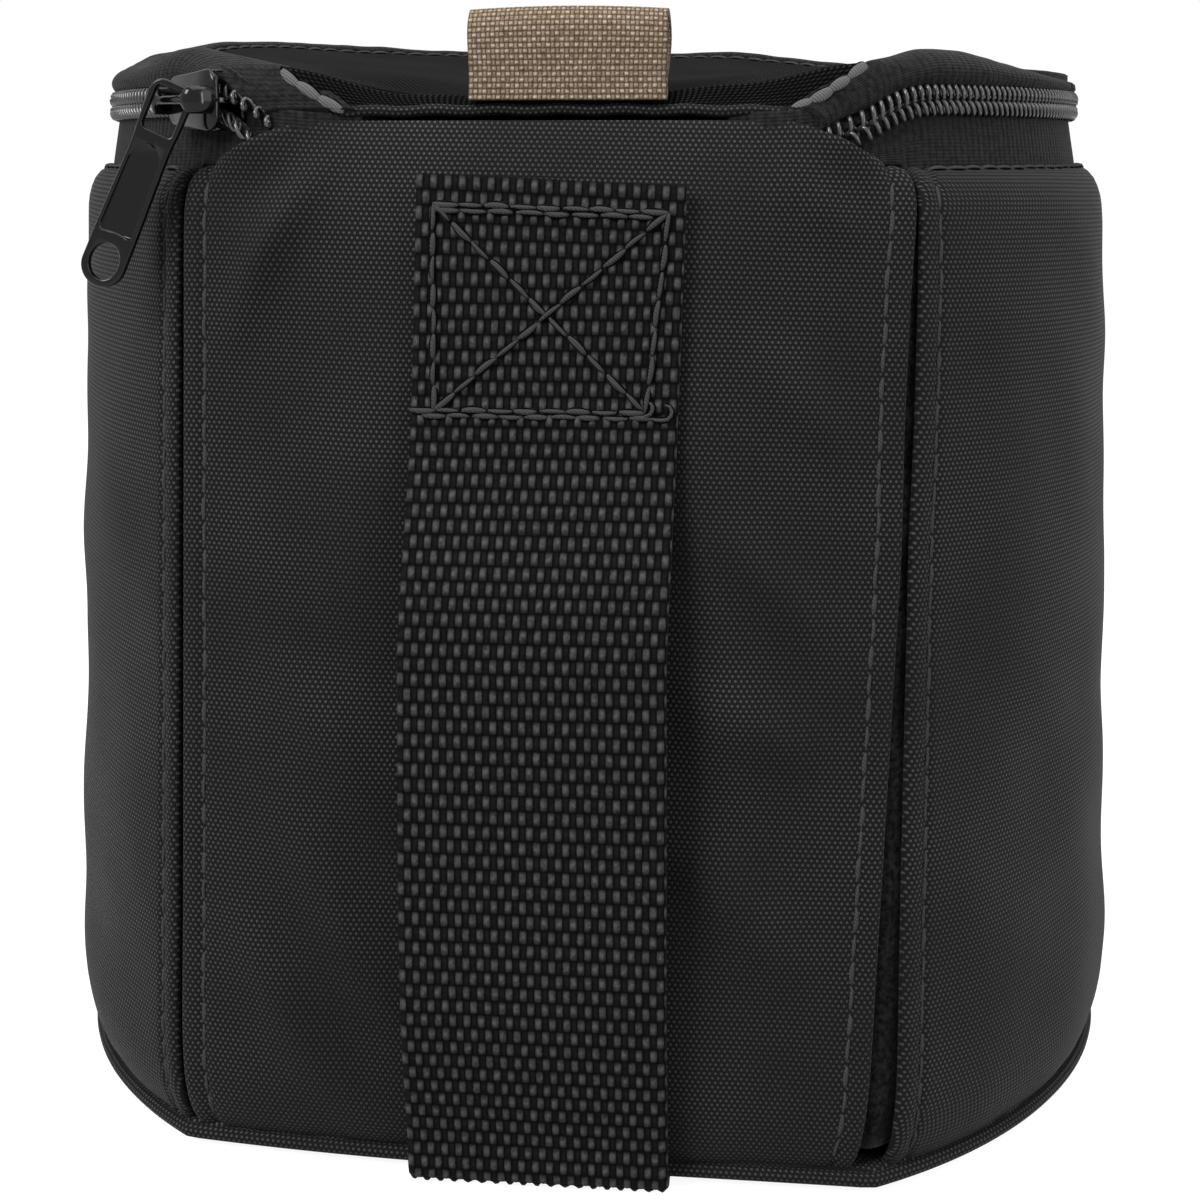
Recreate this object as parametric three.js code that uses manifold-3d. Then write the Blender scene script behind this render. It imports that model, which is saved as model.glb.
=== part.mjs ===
// Padded lens pouch with a zipped lid, a belt strap down its back and a webbing hanging loop.
// Millimetres, +Z up. The base rests on z = 0, the body's round axis is the Z axis,
// and the belt side faces -Y. Angles around the body are in degrees from -Y towards +X.
import * as THREE from 'three';
import { mergeVertices } from 'three/addons/utils/BufferGeometryUtils.js';
import Module from 'manifold-3d';

const wasm = await Module();
wasm.setup();

// General fits
const layerGap = 0.3;
const stitchGap = 0.4;

// Body wall, measured to its outer face. The section keeps its shape: reachShare is how far
// the flat back stands from the axis, as a share of the radius.
const shoulderHeight = 147;
const topRadius = 85.2;
const reachShare = 0.8392;
const topReach = topRadius * reachShare;
const radiusFlare = 4.8;
const reachFlare = 3.5;
const baseRadius = topRadius + radiusFlare;
const baseReach = topReach + reachFlare;
const seamAngle = 38.5;
const rightSeamLeanAngle = 5;
const leanFadeAngle = 110;
const fabricThickness = 1;
const foamThickness = 6;
const liningThickness = 0.8;
const leftSeamOpening = 1.4;
const rightSeamOpening = 3;
const seamTapeHalfWidth = 4.8;

// Rounding of the outer fabric at its hem
const hemDrawIn = 1.6;
const hemHeight = 5.5;
const hemSoftHeight = 9.5;
const hemStraightHeight = 15.2;
const hemSoftShare = 1 / 3;

// Rounding at the shoulder: shares of the draw-in, of the drop and of the crown
const shoulderDrop = 8;
const shoulderDrawIn = 4.3;
const shoulderCrown = 0.7;
const shoulderShares = [[0, 1, 0], [0.06, 0.5, 0], [0.34, 0.13, 0], [0.76, 0, 0.5], [1, 0, 1]];

// Back flap, which carries the lid's hinge fold: shares of its lean, of the drop and of its rise
const flapAngle = 24;
const flapFadeAngle = 29.5;
const flapRise = 7.1;
const flapLean = 4.8;
const flapShares = [[0, 1, 0], [0.1, 0.4, 0], [0.35, 0, 0.08], [0.67, 0, 0.55], [1, 0, 1]];

// Wall padding: how it draws in under the shoulder, and where it starts to rise into the flap
const foamTopShare = 0.35;
const foamSoftShare = 0.2;
const foamCrownShare = 0.5;
const foamSoftDrop = 1.2;
const foamFlapAngle = 19.2;

// Base, with the shares at which its edge turns up
const basePanelThickness = 1.2;
const baseFoamThickness = 4.5;
const boardThickness = 1.5;
const baseEdgeRise = 2.2;
const baseEdgeWidth = 9.5;
const baseSoftWidthShare = 0.84;
const baseUnderWidthShare = 0.87;
const baseSoftRiseShare = 0.32;
const baseTurnWidthShare = 0.66;
const weltRadius = 1.3;
const weltInset = 1.5;
const weltHeight = 3.9;

// Zip ring
const zipSetback = 5.4;
const zipRise = 10;
const tapeRadius = topRadius - zipSetback;
const chainCentre = shoulderHeight + zipRise;
const tapeThickness = 0.6;
const tapeWidth = 11;
const upperTapeLap = 0.4;
const tapeEdgeSetback = 1.8;
const chainHalfHeight = 2.7;
const coilDepth = 2;
const coilPitch = 2.8;
const coilToothHalfDepth = 0.45;
const coilHalfClearance = 0.25;
const zipEndAngle = 30;
const zipDipAngle = 33.8;
const zipDip = 5;
const openTailHalfGap = 1.35;
const openTailAngle = 31;
const tailReachAngle = 30;

// Slider
const sliderAngle = -37.5;
const sliderHalfLength = 5.7;
const sliderNarrowHalf = 3.6;
const sliderWideHalf = 4.5;
const sliderPlate = 1.1;
const sliderCoilClearance = 0.4;
const sliderTapeClearance = 0.7;
const innerPlateShare = 0.92;
const flangeThickness = 0.5;
const flangeDepth = 1.3;
const flangeReachShare = 0.86;
const flangeWideShare = 0.9;
const flangeBendShare = 0.6;
const flangeNarrowShare = 0.8;
const neckHalfHeight = 0.45;
const neckLength = 2;
const neckSetback = 0.7;
const bridgeSpan = 4.2;
const bridgeWall = 1;
const bridgeWidth = 1.3;
const bridgeStandoff = 3;
const bridgeOuterShare = 0.6;
const bridgeInnerShare = 0.55;
const bridgeTopShare = 0.92;

// The slider's shield: shares of its half length, and of its half height from narrow to wide
const shieldLengthShares = [-1, -0.8, 0.2, 0.7, 1];
const shieldNarrowShares = [0.7, 1, 0.4, 0, 0];
const shieldWideShares = [0, 0, 0.6, 1, 0.75];

// Pull tab
const pullLength = 28.8;
const pullThickness = 1.4;
const pullTopHalfWidth = 3.2;
const pullNeckHalfWidth = 2.9;
const pullHalfWidth = 3.25;
const pullSlotHalfWidth = 2.4;
const pullSlotLength = 5;
const pullHeadRise = 2.6;
const pullSlotRise = 1.6;
const pullHeadWidthShare = 0.62;
const pullShoulderShare = 0.4;
const pullCheekShare = 0.7;
const pullWaistShare = 1.3;
const pullSlotCornerShare = 0.3;
const pullEyeHalfWidth = 2.2;
const pullEyeHalfLength = 2.7;
const pullEyeRaise = 0.54;
const pullSlantAngle = 24;

// Hinge fold
const hingeSetback = 5.3;
const hingeDrop = 1.4;
const hingeReach = topReach - hingeSetback;
const hingeHeight = chainCentre - hingeDrop;
const hingeFoldRadius = 1.2;
const hingeFoldLap = 1.5;

// Lid. Its rim's height above the hinge is given round the lid, from the back to the front.
const lidOverhang = 1.1;
const lidSetback = 1.7;
const lidRadius = tapeRadius + lidOverhang;
const lidReach = hingeReach - lidSetback;
const lidCornerAngle = 36;
const lidBandThickness = 0.8;
const lidBandLift = 3.4;
const lidRimInset = 5;
const lidTopClearance = 0.7;
const rearRimRise = 3.6;
const cornerRimRise = 9.6;
const sideRimRise = 7.2;
const frontRimRise = 13.9;
const middleRise = 6;
const rearRimAngle = 18;
const cornerRimAngle = 42;
const sideRimAngle = 74;
const sideRimEndAngle = 84;
const frontRimAngle = 130;
const lidTopThickness = 1;
const lidFoamThickness = 3;
const lidLiningThickness = 0.8;
const lidLiningSetback = 2;
const dishShares = [1, 0.86, 0.6, 0.3];
const bandLap = 0.9;
const bandShares = [[0.3, 0.64], [0.7, 0.93]];
const cornerLift = 1.7;
const rearStripRise = 1;
const rearStripAngle = 32.5;
const rearLean = 1.4;
const rearSoftShare = 0.3;
const rearHalfShare = 0.5;

// Belt strap: the bow's pairs are a share of the height of its seam and of the belt gap
const strapWidth = 38;
const strapThickness = 1.9;
const strapTopDrop = 1;
const strapBoxHeight = 32;
const beltGap = 5.3;
const strapBowShares = [[0.88, 0.45], [0.76, 0.88], [0.66, 1], [0.36, 1], [0.24, 0.86], [0.13, 0.45]];
const strapFootShare = 0.06;
const strapTailLength = 6;
const strapTailShares = [[0.2, 1.5], [0.8, 1.05]];

// Hanging loop
const loopWidth = 28;
const loopCentre = 3.5;
const loopWebbing = 1.3;
const loopTongueThickness = 2.4;
const loopFootRise = 1.7;
const loopEyeRise = 9.6;
const loopEyeHalfWidth = 3;
const loopEyeHalfHeight = 3.6;
const loopOpenAngle = -60;

// Turns and facet counts
const fullTurn = 360;
const halfTurn = 180;
const panelSteps = 12;
const wrapSteps = 30;
const roundSides = 8;
const eyeSides = 24;
const seamTapeSteps = 3;
const dipSteps = 3;
const loopSteps = 16;

// Materials
const blackNylon = new THREE.MeshStandardMaterial({ color: 0x232324, roughness: 0.72, metalness: 0 });
const blackWebbing = new THREE.MeshStandardMaterial({ color: 0x1d1d1e, roughness: 0.8, metalness: 0 });
const tanWebbing = new THREE.MeshStandardMaterial({ color: 0x96826a, roughness: 0.85, metalness: 0 });
const zipTape = new THREE.MeshStandardMaterial({ color: 0x1b1b1c, roughness: 0.85, metalness: 0 });
const coilNylon = new THREE.MeshStandardMaterial({ color: 0x2b2b2d, roughness: 0.4, metalness: 0 });
const enamelledMetal = new THREE.MeshStandardMaterial({ color: 0x0e0e0f, roughness: 0.15, metalness: 0.3 });
const paddingFoam = new THREE.MeshStandardMaterial({ color: 0x55565a, roughness: 0.95, metalness: 0 });
const brushedLining = new THREE.MeshStandardMaterial({ color: 0x2c2c30, roughness: 0.95, metalness: 0 });
const stiffBoard = new THREE.MeshStandardMaterial({ color: 0x3c3d40, roughness: 0.6, metalness: 0 });

const pouch = new THREE.Group();

// Small helpers
const radians = THREE.MathUtils.degToRad;
const lerp = THREE.MathUtils.lerp;
const smooth = THREE.MathUtils.smoothstep;

function evenSteps(from, to, steps) {
  return Array.from({ length: steps + 1 }, (_, i) => lerp(from, to, i / steps));
}

// The same direction as an angle from -180 to 180, and how far it lies from the back
function signedAngle(angle) {
  return ((angle + fullTurn + halfTurn) % fullTurn) - halfTurn;
}

function foldedAngle(angle) {
  return Math.abs(signedAngle(angle));
}

function arcDegrees(length, radius) {
  return THREE.MathUtils.radToDeg(length / radius);
}

function polar(radius, angle, z) {
  const a = radians(angle);
  return new THREE.Vector3(radius * Math.sin(a), -radius * Math.cos(a), z);
}

function add(name, geometry, material, parent = pouch) {
  const mesh = new THREE.Mesh(geometry, material);
  mesh.name = name;
  parent.add(mesh);
  return mesh;
}

// Offsets an open outline [inset, z] by a thickness and returns the closed loop around both.
function thicken(path, thickness) {
  const far = path.map((point, i) => {
    const before = path[Math.max(i - 1, 0)];
    const after = path[Math.min(i + 1, path.length - 1)];
    const run = new THREE.Vector2(after[0] - before[0], after[1] - before[1]).normalize();
    return [point[0] + run.y * thickness, point[1] - run.x * thickness];
  });
  return [...path, ...far.reverse()];
}

function isDegenerate(points, [a, b, c]) {
  const u = points[b].clone().sub(points[a]);
  const v = points[c].clone().sub(points[a]);
  return u.cross(v).length() < Number.EPSILON * shoulderHeight ** 2;
}

function isOutward(points, triangles) {
  const cross = new THREE.Vector3();
  return triangles.reduce((sum, [a, b, c]) => {
    cross.crossVectors(points[b], points[c]);
    return sum + points[a].dot(cross);
  }, 0) > 0;
}

// Ranks a corner so that stacked layers split their faces along matching diagonals.
function rank(point) {
  const tieShare = 0.5;
  return point.z + tieShare * Math.hypot(point.x, point.y);
}

// The triangles of a loop's flat end, drawn in distance from the axis and height
function endTriangles(loop) {
  const flat = loop.map((p) => new THREE.Vector2(Math.hypot(p.x, p.y), p.z));
  const turned = THREE.ShapeUtils.isClockWise(flat);
  const last = flat.length - 1;
  return THREE.ShapeUtils.triangulateShape(turned ? [...flat].reverse() : flat, [])
    .map(([a, b, c]) => (turned ? [last - a, last - c, last - b] : [a, b, c]));
}

// Joins closed loops of equal length into one closed solid, as a ring or with flat ends.
function loft(loops, isRing) {
  const count = loops[0].length;
  const points = loops.flat();
  const triangles = [];
  const spans = isRing ? loops.length : loops.length - 1;
  for (let i = 0; i < spans; i += 1) {
    const next = (i + 1) % loops.length;
    for (let j = 0; j < count; j += 1) {
      const k = (j + 1) % count;
      const [a, b, c, d] = [i * count + j, i * count + k, next * count + k, next * count + j];
      const split = rank(points[a]) > rank(points[b]);
      triangles.push(...(split ? [[a, b, c], [a, c, d]] : [[a, b, d], [b, c, d]]));
    }
  }
  if (!isRing) {
    const last = (loops.length - 1) * count;
    for (const [a, b, c] of endTriangles(loops[0])) {
      triangles.push([a, c, b]);
      triangles.push([last + a, last + b, last + c]);
    }
  }
  const kept = triangles.filter((triangle) => !isDegenerate(points, triangle));
  const outward = isOutward(points, kept);
  const corners = kept.flatMap(([a, b, c]) => (outward ? [a, b, c] : [a, c, b]));
  const values = corners.flatMap((i) => points[i].toArray());
  const geometry = new THREE.BufferGeometry();
  geometry.setAttribute('position', new THREE.Float32BufferAttribute(values, 3));
  const merged = mergeVertices(geometry);
  merged.computeVertexNormals();
  return merged;
}

function toShape(outline, holes = []) {
  const shape = new THREE.Shape(outline.map(([x, y]) => new THREE.Vector2(x, y)));
  for (const hole of holes) {
    shape.holes.push(new THREE.Path(hole.map(([x, y]) => new THREE.Vector2(x, y))));
  }
  return shape;
}

function extrude(shape, depth) {
  return new THREE.ExtrudeGeometry(shape, { depth, bevelEnabled: false });
}

// Extrudes an outline drawn in (y, z) across X.
function extrudeAcross(outline, width, centre, holes = []) {
  const geometry = extrude(toShape(outline, holes), width);
  const alongY = new THREE.Vector3(0, 1, 0);
  const alongZ = new THREE.Vector3(0, 0, 1);
  const alongX = new THREE.Vector3(1, 0, 0);
  geometry.applyMatrix4(new THREE.Matrix4().makeBasis(alongY, alongZ, alongX));
  geometry.translate(centre - width / 2, 0, 0);
  return geometry;
}

function toSolid(geometry) {
  const bare = geometry.clone();
  bare.deleteAttribute('normal');
  bare.deleteAttribute('uv');
  const merged = mergeVertices(bare);
  return new wasm.Manifold(new wasm.Mesh({
    numProp: 3,
    vertProperties: new Float32Array(merged.attributes.position.array),
    triVerts: new Uint32Array(merged.index.array),
  }));
}

function fromSolid(solid) {
  const mesh = solid.getMesh();
  const geometry = new THREE.BufferGeometry();
  geometry.setAttribute('position', new THREE.Float32BufferAttribute(mesh.vertProperties, 3));
  geometry.setIndex([...mesh.triVerts]);
  geometry.computeVertexNormals();
  return geometry;
}

// Body section: a circle, cut across the back by a gently bulging panel between the two seams.
// The right seam leans: it swings towards the back as it goes down.
function leanAt(angle, z) {
  const side = signedAngle(angle);
  const down = 1 - Math.min(z / shoulderHeight, 1);
  if (side <= 0 || side >= leanFadeAngle) return 0;
  const fade = side < seamAngle ? side / seamAngle : (leanFadeAngle - side) / (leanFadeAngle - seamAngle);
  return rightSeamLeanAngle * down * fade;
}

function bodyRadius(z) {
  return lerp(baseRadius, topRadius, Math.min(z / shoulderHeight, 1));
}

function bodyReach(z) {
  return lerp(baseReach, topReach, Math.min(z / shoulderHeight, 1));
}

function wallPoint(angle, inset, z) {
  const turned = angle - leanAt(angle, z);
  const side = signedAngle(turned);
  const seam = side > 0 ? seamAngle - leanAt(seamAngle, z) : seamAngle;
  const radius = bodyRadius(z) - inset;
  const reach = bodyReach(z) - inset;
  if (Math.abs(side) >= seam) return polar(radius, turned, z);
  const halfChord = radius * Math.sin(radians(seam));
  const bulge = reach - radius * Math.cos(radians(seam));
  const a = radians(side);
  const curve = bulge * (Math.sin(a) / halfChord) ** 2;
  const root = Math.sqrt(Math.cos(a) ** 2 + 4 * curve * reach);
  return polar(2 * reach / (Math.cos(a) + root), turned, z);
}

function wallLoop(angle, outline) {
  return outline.map(([inset, z]) => wallPoint(angle, inset, z));
}

// A disc of the body's section: its outline runs from the axis to the rim and back to the axis.
function wallDisc(angles, lowZ, highZ, outline) {
  return loft(angles.map((angle) => [
    new THREE.Vector3(0, 0, lowZ),
    ...wallLoop(angle, outline),
    new THREE.Vector3(0, 0, highZ),
  ]), true);
}

const leftOpening = arcDegrees(leftSeamOpening / 2, topRadius);
const rightOpening = arcDegrees(rightSeamOpening / 2, topRadius);
const seamTapeAngle = arcDegrees(seamTapeHalfWidth, topRadius);
const foamClear = seamTapeAngle + arcDegrees(layerGap, topRadius);

// Stations round the body, shared by all the layers
const leftSeamStation = fullTurn - seamAngle;
const panelAngles = evenSteps(foamClear - seamAngle, seamAngle - foamClear, panelSteps);
const wrapAngles = evenSteps(seamAngle + foamClear, leftSeamStation - foamClear, wrapSteps);
const ringAngles = [-seamAngle, ...panelAngles, seamAngle, ...wrapAngles];

// Outer fabric: a hem, a straight wall, and a shoulder that fades into the back flap
const wallFoot = [
  [hemDrawIn, hemHeight],
  [hemDrawIn * hemSoftShare, hemSoftHeight],
  [0, hemStraightHeight],
];
const shoulderLine = shoulderShares.map(([drawIn, drop, crown]) => [
  shoulderDrawIn * drawIn,
  shoulderHeight - shoulderDrop * drop + shoulderCrown * crown,
]);
const flapLine = flapShares.map(([lean, drop, rise]) => [
  flapLean * lean,
  shoulderHeight - shoulderDrop * drop + flapRise * rise,
]);
const shoulderTop = shoulderHeight + shoulderCrown;
const shoulderFoot = shoulderHeight - shoulderDrop;
const flapTop = shoulderHeight + flapRise;

function topLine(angle) {
  const fade = smooth(foldedAngle(angle), flapAngle, flapFadeAngle);
  return flapLine.map(([inset, z], i) => [
    lerp(inset, shoulderLine[i][0], fade),
    lerp(z, shoulderLine[i][1], fade),
  ]);
}

function outerFabric(name, angles) {
  const loops = angles.map((angle) => {
    const outline = thicken([...wallFoot, ...topLine(angle)], fabricThickness);
    return wallLoop(angle, outline);
  });
  add(name, loft(loops, false), blackNylon);
}
outerFabric('back_panel', [leftOpening - seamAngle, ...panelAngles, seamAngle - rightOpening]);
outerFabric('wrap_panel', [seamAngle + rightOpening, ...wrapAngles, leftSeamStation - leftOpening]);

// Backing tapes behind the two lapped seams
const backingInset = fabricThickness + layerGap;
const seamTapeOutline = thicken([
  [hemDrawIn + backingInset, hemHeight + stitchGap * 2],
  [backingInset, hemStraightHeight],
  [backingInset, shoulderFoot],
  [backingInset + shoulderDrawIn * foamSoftShare, shoulderHeight - shoulderDrop / 2],
], liningThickness);
function seamTape(name, centre) {
  const angles = evenSteps(centre - seamTapeAngle, centre + seamTapeAngle, seamTapeSteps);
  const loops = angles.map((angle) => wallLoop(angle, seamTapeOutline));
  add(name, loft(loops, false), brushedLining);
}
seamTape('left_seam_tape', -seamAngle);
seamTape('right_seam_tape', seamAngle);

// Wall padding: it stops under the shoulder, but rises behind the flap where hasFlap is set
const foamInner = backingInset + foamThickness;
const foamFoot = basePanelThickness + layerGap + baseFoamThickness + layerGap;
const foamTop = shoulderHeight - shoulderDrop * foamTopShare;
const foamFlapTop = flapTop - stitchGap;

function foamLoop(angle, hasFlap) {
  const isRaised = hasFlap && foldedAngle(angle) < flapAngle;
  const raise = isRaised ? 1 - smooth(foldedAngle(angle), foamFlapAngle, flapAngle) : 0;
  const soft = [backingInset + shoulderDrawIn * foamSoftShare, foamTop - foamSoftDrop];
  const crown = [backingInset + shoulderDrawIn * foamCrownShare, foamTop];
  const [, , flapSoft, , flapCrown] = flapLine;
  const crownHeight = lerp(crown[1], foamFlapTop, raise);
  return wallLoop(angle, [
    [hemDrawIn + backingInset, foamFoot],
    [hemDrawIn * hemSoftShare + backingInset, hemSoftHeight],
    [backingInset, hemStraightHeight],
    [backingInset, shoulderFoot - layerGap],
    [lerp(soft[0], flapSoft[0] + backingInset, raise), lerp(soft[1], shoulderHeight, raise)],
    [lerp(crown[0], flapCrown[0] + backingInset, raise), crownHeight],
    [foamInner, crownHeight],
    [foamInner, foamFoot],
  ]);
}

function wallFoam(name, angles, hasFlap) {
  add(name, loft(angles.map((angle) => foamLoop(angle, hasFlap)), false), paddingFoam);
}
wallFoam('back_foam', panelAngles, true);
wallFoam('wrap_foam', wrapAngles, false);

// Lining sleeve and the binding round the mouth
const liningOuter = foamInner + layerGap;
const liningInner = liningOuter + liningThickness;
const boardTop = foamFoot + boardThickness;
const floorTop = boardTop + layerGap + liningThickness;
const liningFoot = floorTop + layerGap;
const liningOutline = [
  [liningOuter, liningFoot],
  [liningOuter, foamTop],
  [liningInner, foamTop],
  [liningInner, liningFoot],
];
add('lining_wall', loft(ringAngles.map((angle) => wallLoop(angle, liningOutline)), true), brushedLining);

const bindingOuter = zipSetback + tapeThickness + layerGap * 2;
const bindingInner = liningInner + stitchGap * 2;
const bindingFoot = foamTop + stitchGap;
const bindingTop = shoulderTop - stitchGap;
const bindingLoops = ringAngles.map((angle) => {
  const outer = lerp(liningOuter, bindingOuter, smooth(foldedAngle(angle), flapFadeAngle, seamAngle));
  return wallLoop(angle, [
    [outer, bindingFoot],
    [outer, bindingTop],
    [bindingInner, bindingTop],
    [bindingInner, bindingFoot],
  ]);
});
add('mouth_binding', loft(bindingLoops, true), blackNylon);

// Base: outer panel with an upturned edge, welt, padding, stiffener board and lining floor
const edgeTurn = baseEdgeWidth * baseTurnWidthShare;
const edgeTurnInside = edgeTurn - layerGap;
const softRise = baseEdgeRise * baseSoftRiseShare;
const softInside = baseEdgeWidth * baseUnderWidthShare;
const weltClear = weltInset + weltRadius + layerGap;
const edgeTop = baseEdgeRise + stitchGap;
add('base_panel', wallDisc(ringAngles, 0, basePanelThickness, [
  [baseEdgeWidth, 0],
  [baseEdgeWidth * baseSoftWidthShare, softRise],
  [edgeTurn, baseEdgeRise],
  [weltClear, edgeTop],
  [weltClear, edgeTop + basePanelThickness],
  [edgeTurnInside, baseEdgeRise + basePanelThickness],
  [softInside, softRise + basePanelThickness],
  [baseEdgeWidth + layerGap, basePanelThickness],
]), blackNylon);

const baseFoamFoot = basePanelThickness + layerGap;
const baseFoamTop = baseFoamFoot + baseFoamThickness;
const baseFoamLift = baseFoamFoot + layerGap;
add('base_foam', wallDisc(ringAngles, baseFoamFoot, baseFoamTop, [
  [baseEdgeWidth + layerGap * 2, baseFoamFoot],
  [softInside, softRise + baseFoamLift],
  [edgeTurnInside, baseEdgeRise + baseFoamLift],
  [weltClear, edgeTop + baseFoamLift],
  [weltClear, baseFoamTop],
]), paddingFoam);

function floorDisc(name, low, thickness, material) {
  const edge = [[liningOuter, low], [liningOuter, low + thickness]];
  add(name, wallDisc(ringAngles, low, low + thickness, edge), material);
}
floorDisc('base_board', foamFoot, boardThickness, stiffBoard);
floorDisc('lining_floor', boardTop + layerGap, liningThickness, brushedLining);

const weltOutline = evenSteps(0, fullTurn, roundSides).slice(0, -1).map((turn) => [
  weltInset + weltRadius * Math.cos(radians(turn)),
  weltHeight + weltRadius * Math.sin(radians(turn)),
]);
add('base_welt', loft(ringAngles.map((angle) => wallLoop(angle, weltOutline)), true), blackNylon);

// Zip ring: the chain's centre line dips to both sewn ends
function chainHeight(angle) {
  return chainCentre - zipDip * (1 - smooth(foldedAngle(angle), zipEndAngle, zipDipAngle));
}

// The foot of the lid's side band, raised at both rear corners to let the slider pass
function bandFoot(angle) {
  const raised = 1 - smooth(foldedAngle(angle), seamAngle, seamAngle + foamClear);
  return chainHeight(angle) + lidBandLift + cornerLift * raised;
}

// The rows part behind the slider, from its neck to the sewn end next to it.
function rowHalfGap(angle) {
  const side = signedAngle(angle);
  const along = radians(side - sliderAngle) * tapeRadius;
  const isBehind = side < 0 && foldedAngle(side - sliderAngle) < tailReachAngle;
  if (!isBehind) return 0;
  const clear = coilToothHalfDepth + neckHalfHeight - coilHalfClearance + layerGap;
  const atNeck = sliderHalfLength - neckSetback - neckLength;
  const pastSlider = sliderAngle + arcDegrees(sliderHalfLength, tapeRadius);
  const inSlider = clear * smooth(along, -sliderHalfLength / 2, atNeck);
  const beyond = (openTailHalfGap - clear) * smooth(side, pastSlider, -openTailAngle);
  return Math.max(inSlider + beyond, 0);
}

const rightDipAngles = evenSteps(zipEndAngle, zipDipAngle, dipSteps);
const leftDipAngles = evenSteps(fullTurn - zipDipAngle, fullTurn - zipEndAngle, dipSteps);
const zipAngles = [...rightDipAngles, seamAngle, ...wrapAngles, leftSeamStation, ...leftDipAngles];

function tape(name, innerEdge, outerEdge, parent) {
  const loops = zipAngles.map((angle) => [
    polar(tapeRadius, angle, innerEdge(angle)),
    polar(tapeRadius, angle, outerEdge(angle)),
    polar(tapeRadius - tapeThickness, angle, outerEdge(angle)),
    polar(tapeRadius - tapeThickness, angle, innerEdge(angle)),
  ]);
  add(name, loft(loops, false), zipTape, parent);
}

function tapeFoot(angle) {
  return foldedAngle(angle) > seamAngle ? chainCentre - tapeWidth : shoulderTop + stitchGap;
}

const lid = new THREE.Group();
pouch.add(lid);
tape(
  'zip_tape_lower',
  (angle) => chainHeight(angle) - rowHalfGap(angle) - tapeEdgeSetback,
  tapeFoot,
  pouch,
);
tape(
  'zip_tape_upper',
  (angle) => chainHeight(angle) + rowHalfGap(angle) + tapeEdgeSetback,
  (angle) => bandFoot(angle) + upperTapeLap,
  lid,
);

// Each coil row is a comb whose teeth mesh with the other row's; one tooth stands for two turns.
const coilInner = tapeRadius + layerGap;
const coilOuter = coilInner + coilDepth;
const zipArc = radians(fullTurn - 2 * zipEndAngle) * tapeRadius;
const toothCount = Math.round(zipArc / coilPitch);
function coilRow(name, side, parent) {
  const stations = evenSteps(zipEndAngle, fullTurn - zipEndAngle, toothCount * 2);
  const loops = stations.map((angle, i) => {
    const wave = i % 2 === 0 ? coilToothHalfDepth : -coilToothHalfDepth;
    const centre = chainHeight(angle) + side * rowHalfGap(angle);
    const tip = centre + wave + side * coilHalfClearance;
    const back = centre + side * chainHalfHeight;
    return [
      polar(coilInner, angle, tip),
      polar(coilOuter, angle, tip),
      polar(coilOuter, angle, back),
      polar(coilInner, angle, back),
    ];
  });
  add(name, loft(loops, false), coilNylon, parent);
}
coilRow('zip_coil_lower', -1, pouch);
coilRow('zip_coil_upper', 1, lid);

// Slider, built facing -Y and turned to its place on the ring
const coilFace = coilOuter + sliderCoilClearance;
const plateFace = coilFace + sliderPlate;
const plateMiddle = coilFace + sliderPlate / 2;
const innerPlateFace = tapeRadius - tapeThickness - sliderTapeClearance;
const bridgeRise = bridgeStandoff + bridgeWall;
const bridgeAxis = plateFace + bridgeStandoff + bridgeWall / 2;

// Extrudes an outline drawn in (x, z) outwards between two distances from the ring's axis.
function outwardPlate(outline, nearDistance, farDistance) {
  const geometry = extrude(toShape(outline), farDistance - nearDistance);
  geometry.rotateX(Math.PI / 2);
  geometry.translate(0, -nearDistance, chainCentre);
  return toSolid(geometry);
}

function shieldOutline(scale) {
  const side = shieldLengthShares.map((lengthShare, i) => {
    const half = sliderNarrowHalf * shieldNarrowShares[i] + sliderWideHalf * shieldWideShares[i];
    return [sliderHalfLength * lengthShare * scale, half * scale];
  });
  return [...side.map(([x, z]) => [x, -z]), ...side.reverse()];
}

function flange(side) {
  const reach = sliderHalfLength * flangeReachShare;
  const narrow = sliderNarrowHalf - flangeThickness;
  const wide = sliderWideHalf - flangeThickness;
  const bend = neckLength / 2;
  return outwardPlate([
    [-reach, side * narrow],
    [bend, side * wide],
    [reach, side * wide],
    [reach, side * (wide + flangeThickness * flangeWideShare)],
    [bend, side * (wide + flangeThickness * flangeBendShare)],
    [-reach, side * (narrow + flangeThickness * flangeNarrowShare)],
  ], coilFace - flangeDepth, plateMiddle);
}

// The bridge that the pull hangs from, drawn in (x, distance beyond the outer plate)
function bridge() {
  const outer = bridgeSpan + bridgeWall;
  const root = -sliderPlate / 2;
  const outline = [
    [-outer, root],
    [-outer, bridgeRise * bridgeOuterShare],
    [-bridgeSpan, bridgeRise],
    [bridgeSpan, bridgeRise],
    [outer, bridgeRise * bridgeOuterShare],
    [outer, root],
    [bridgeSpan, root],
    [bridgeSpan, bridgeRise * bridgeInnerShare],
    [bridgeSpan * bridgeTopShare, bridgeStandoff],
    [-bridgeSpan * bridgeTopShare, bridgeStandoff],
    [-bridgeSpan, bridgeRise * bridgeInnerShare],
    [-bridgeSpan, root],
  ];
  const geometry = extrude(toShape(outline.map(([x, out]) => [x, -plateFace - out])), bridgeWidth);
  geometry.translate(0, 0, chainCentre - bridgeWidth / 2);
  return toSolid(geometry);
}

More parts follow.
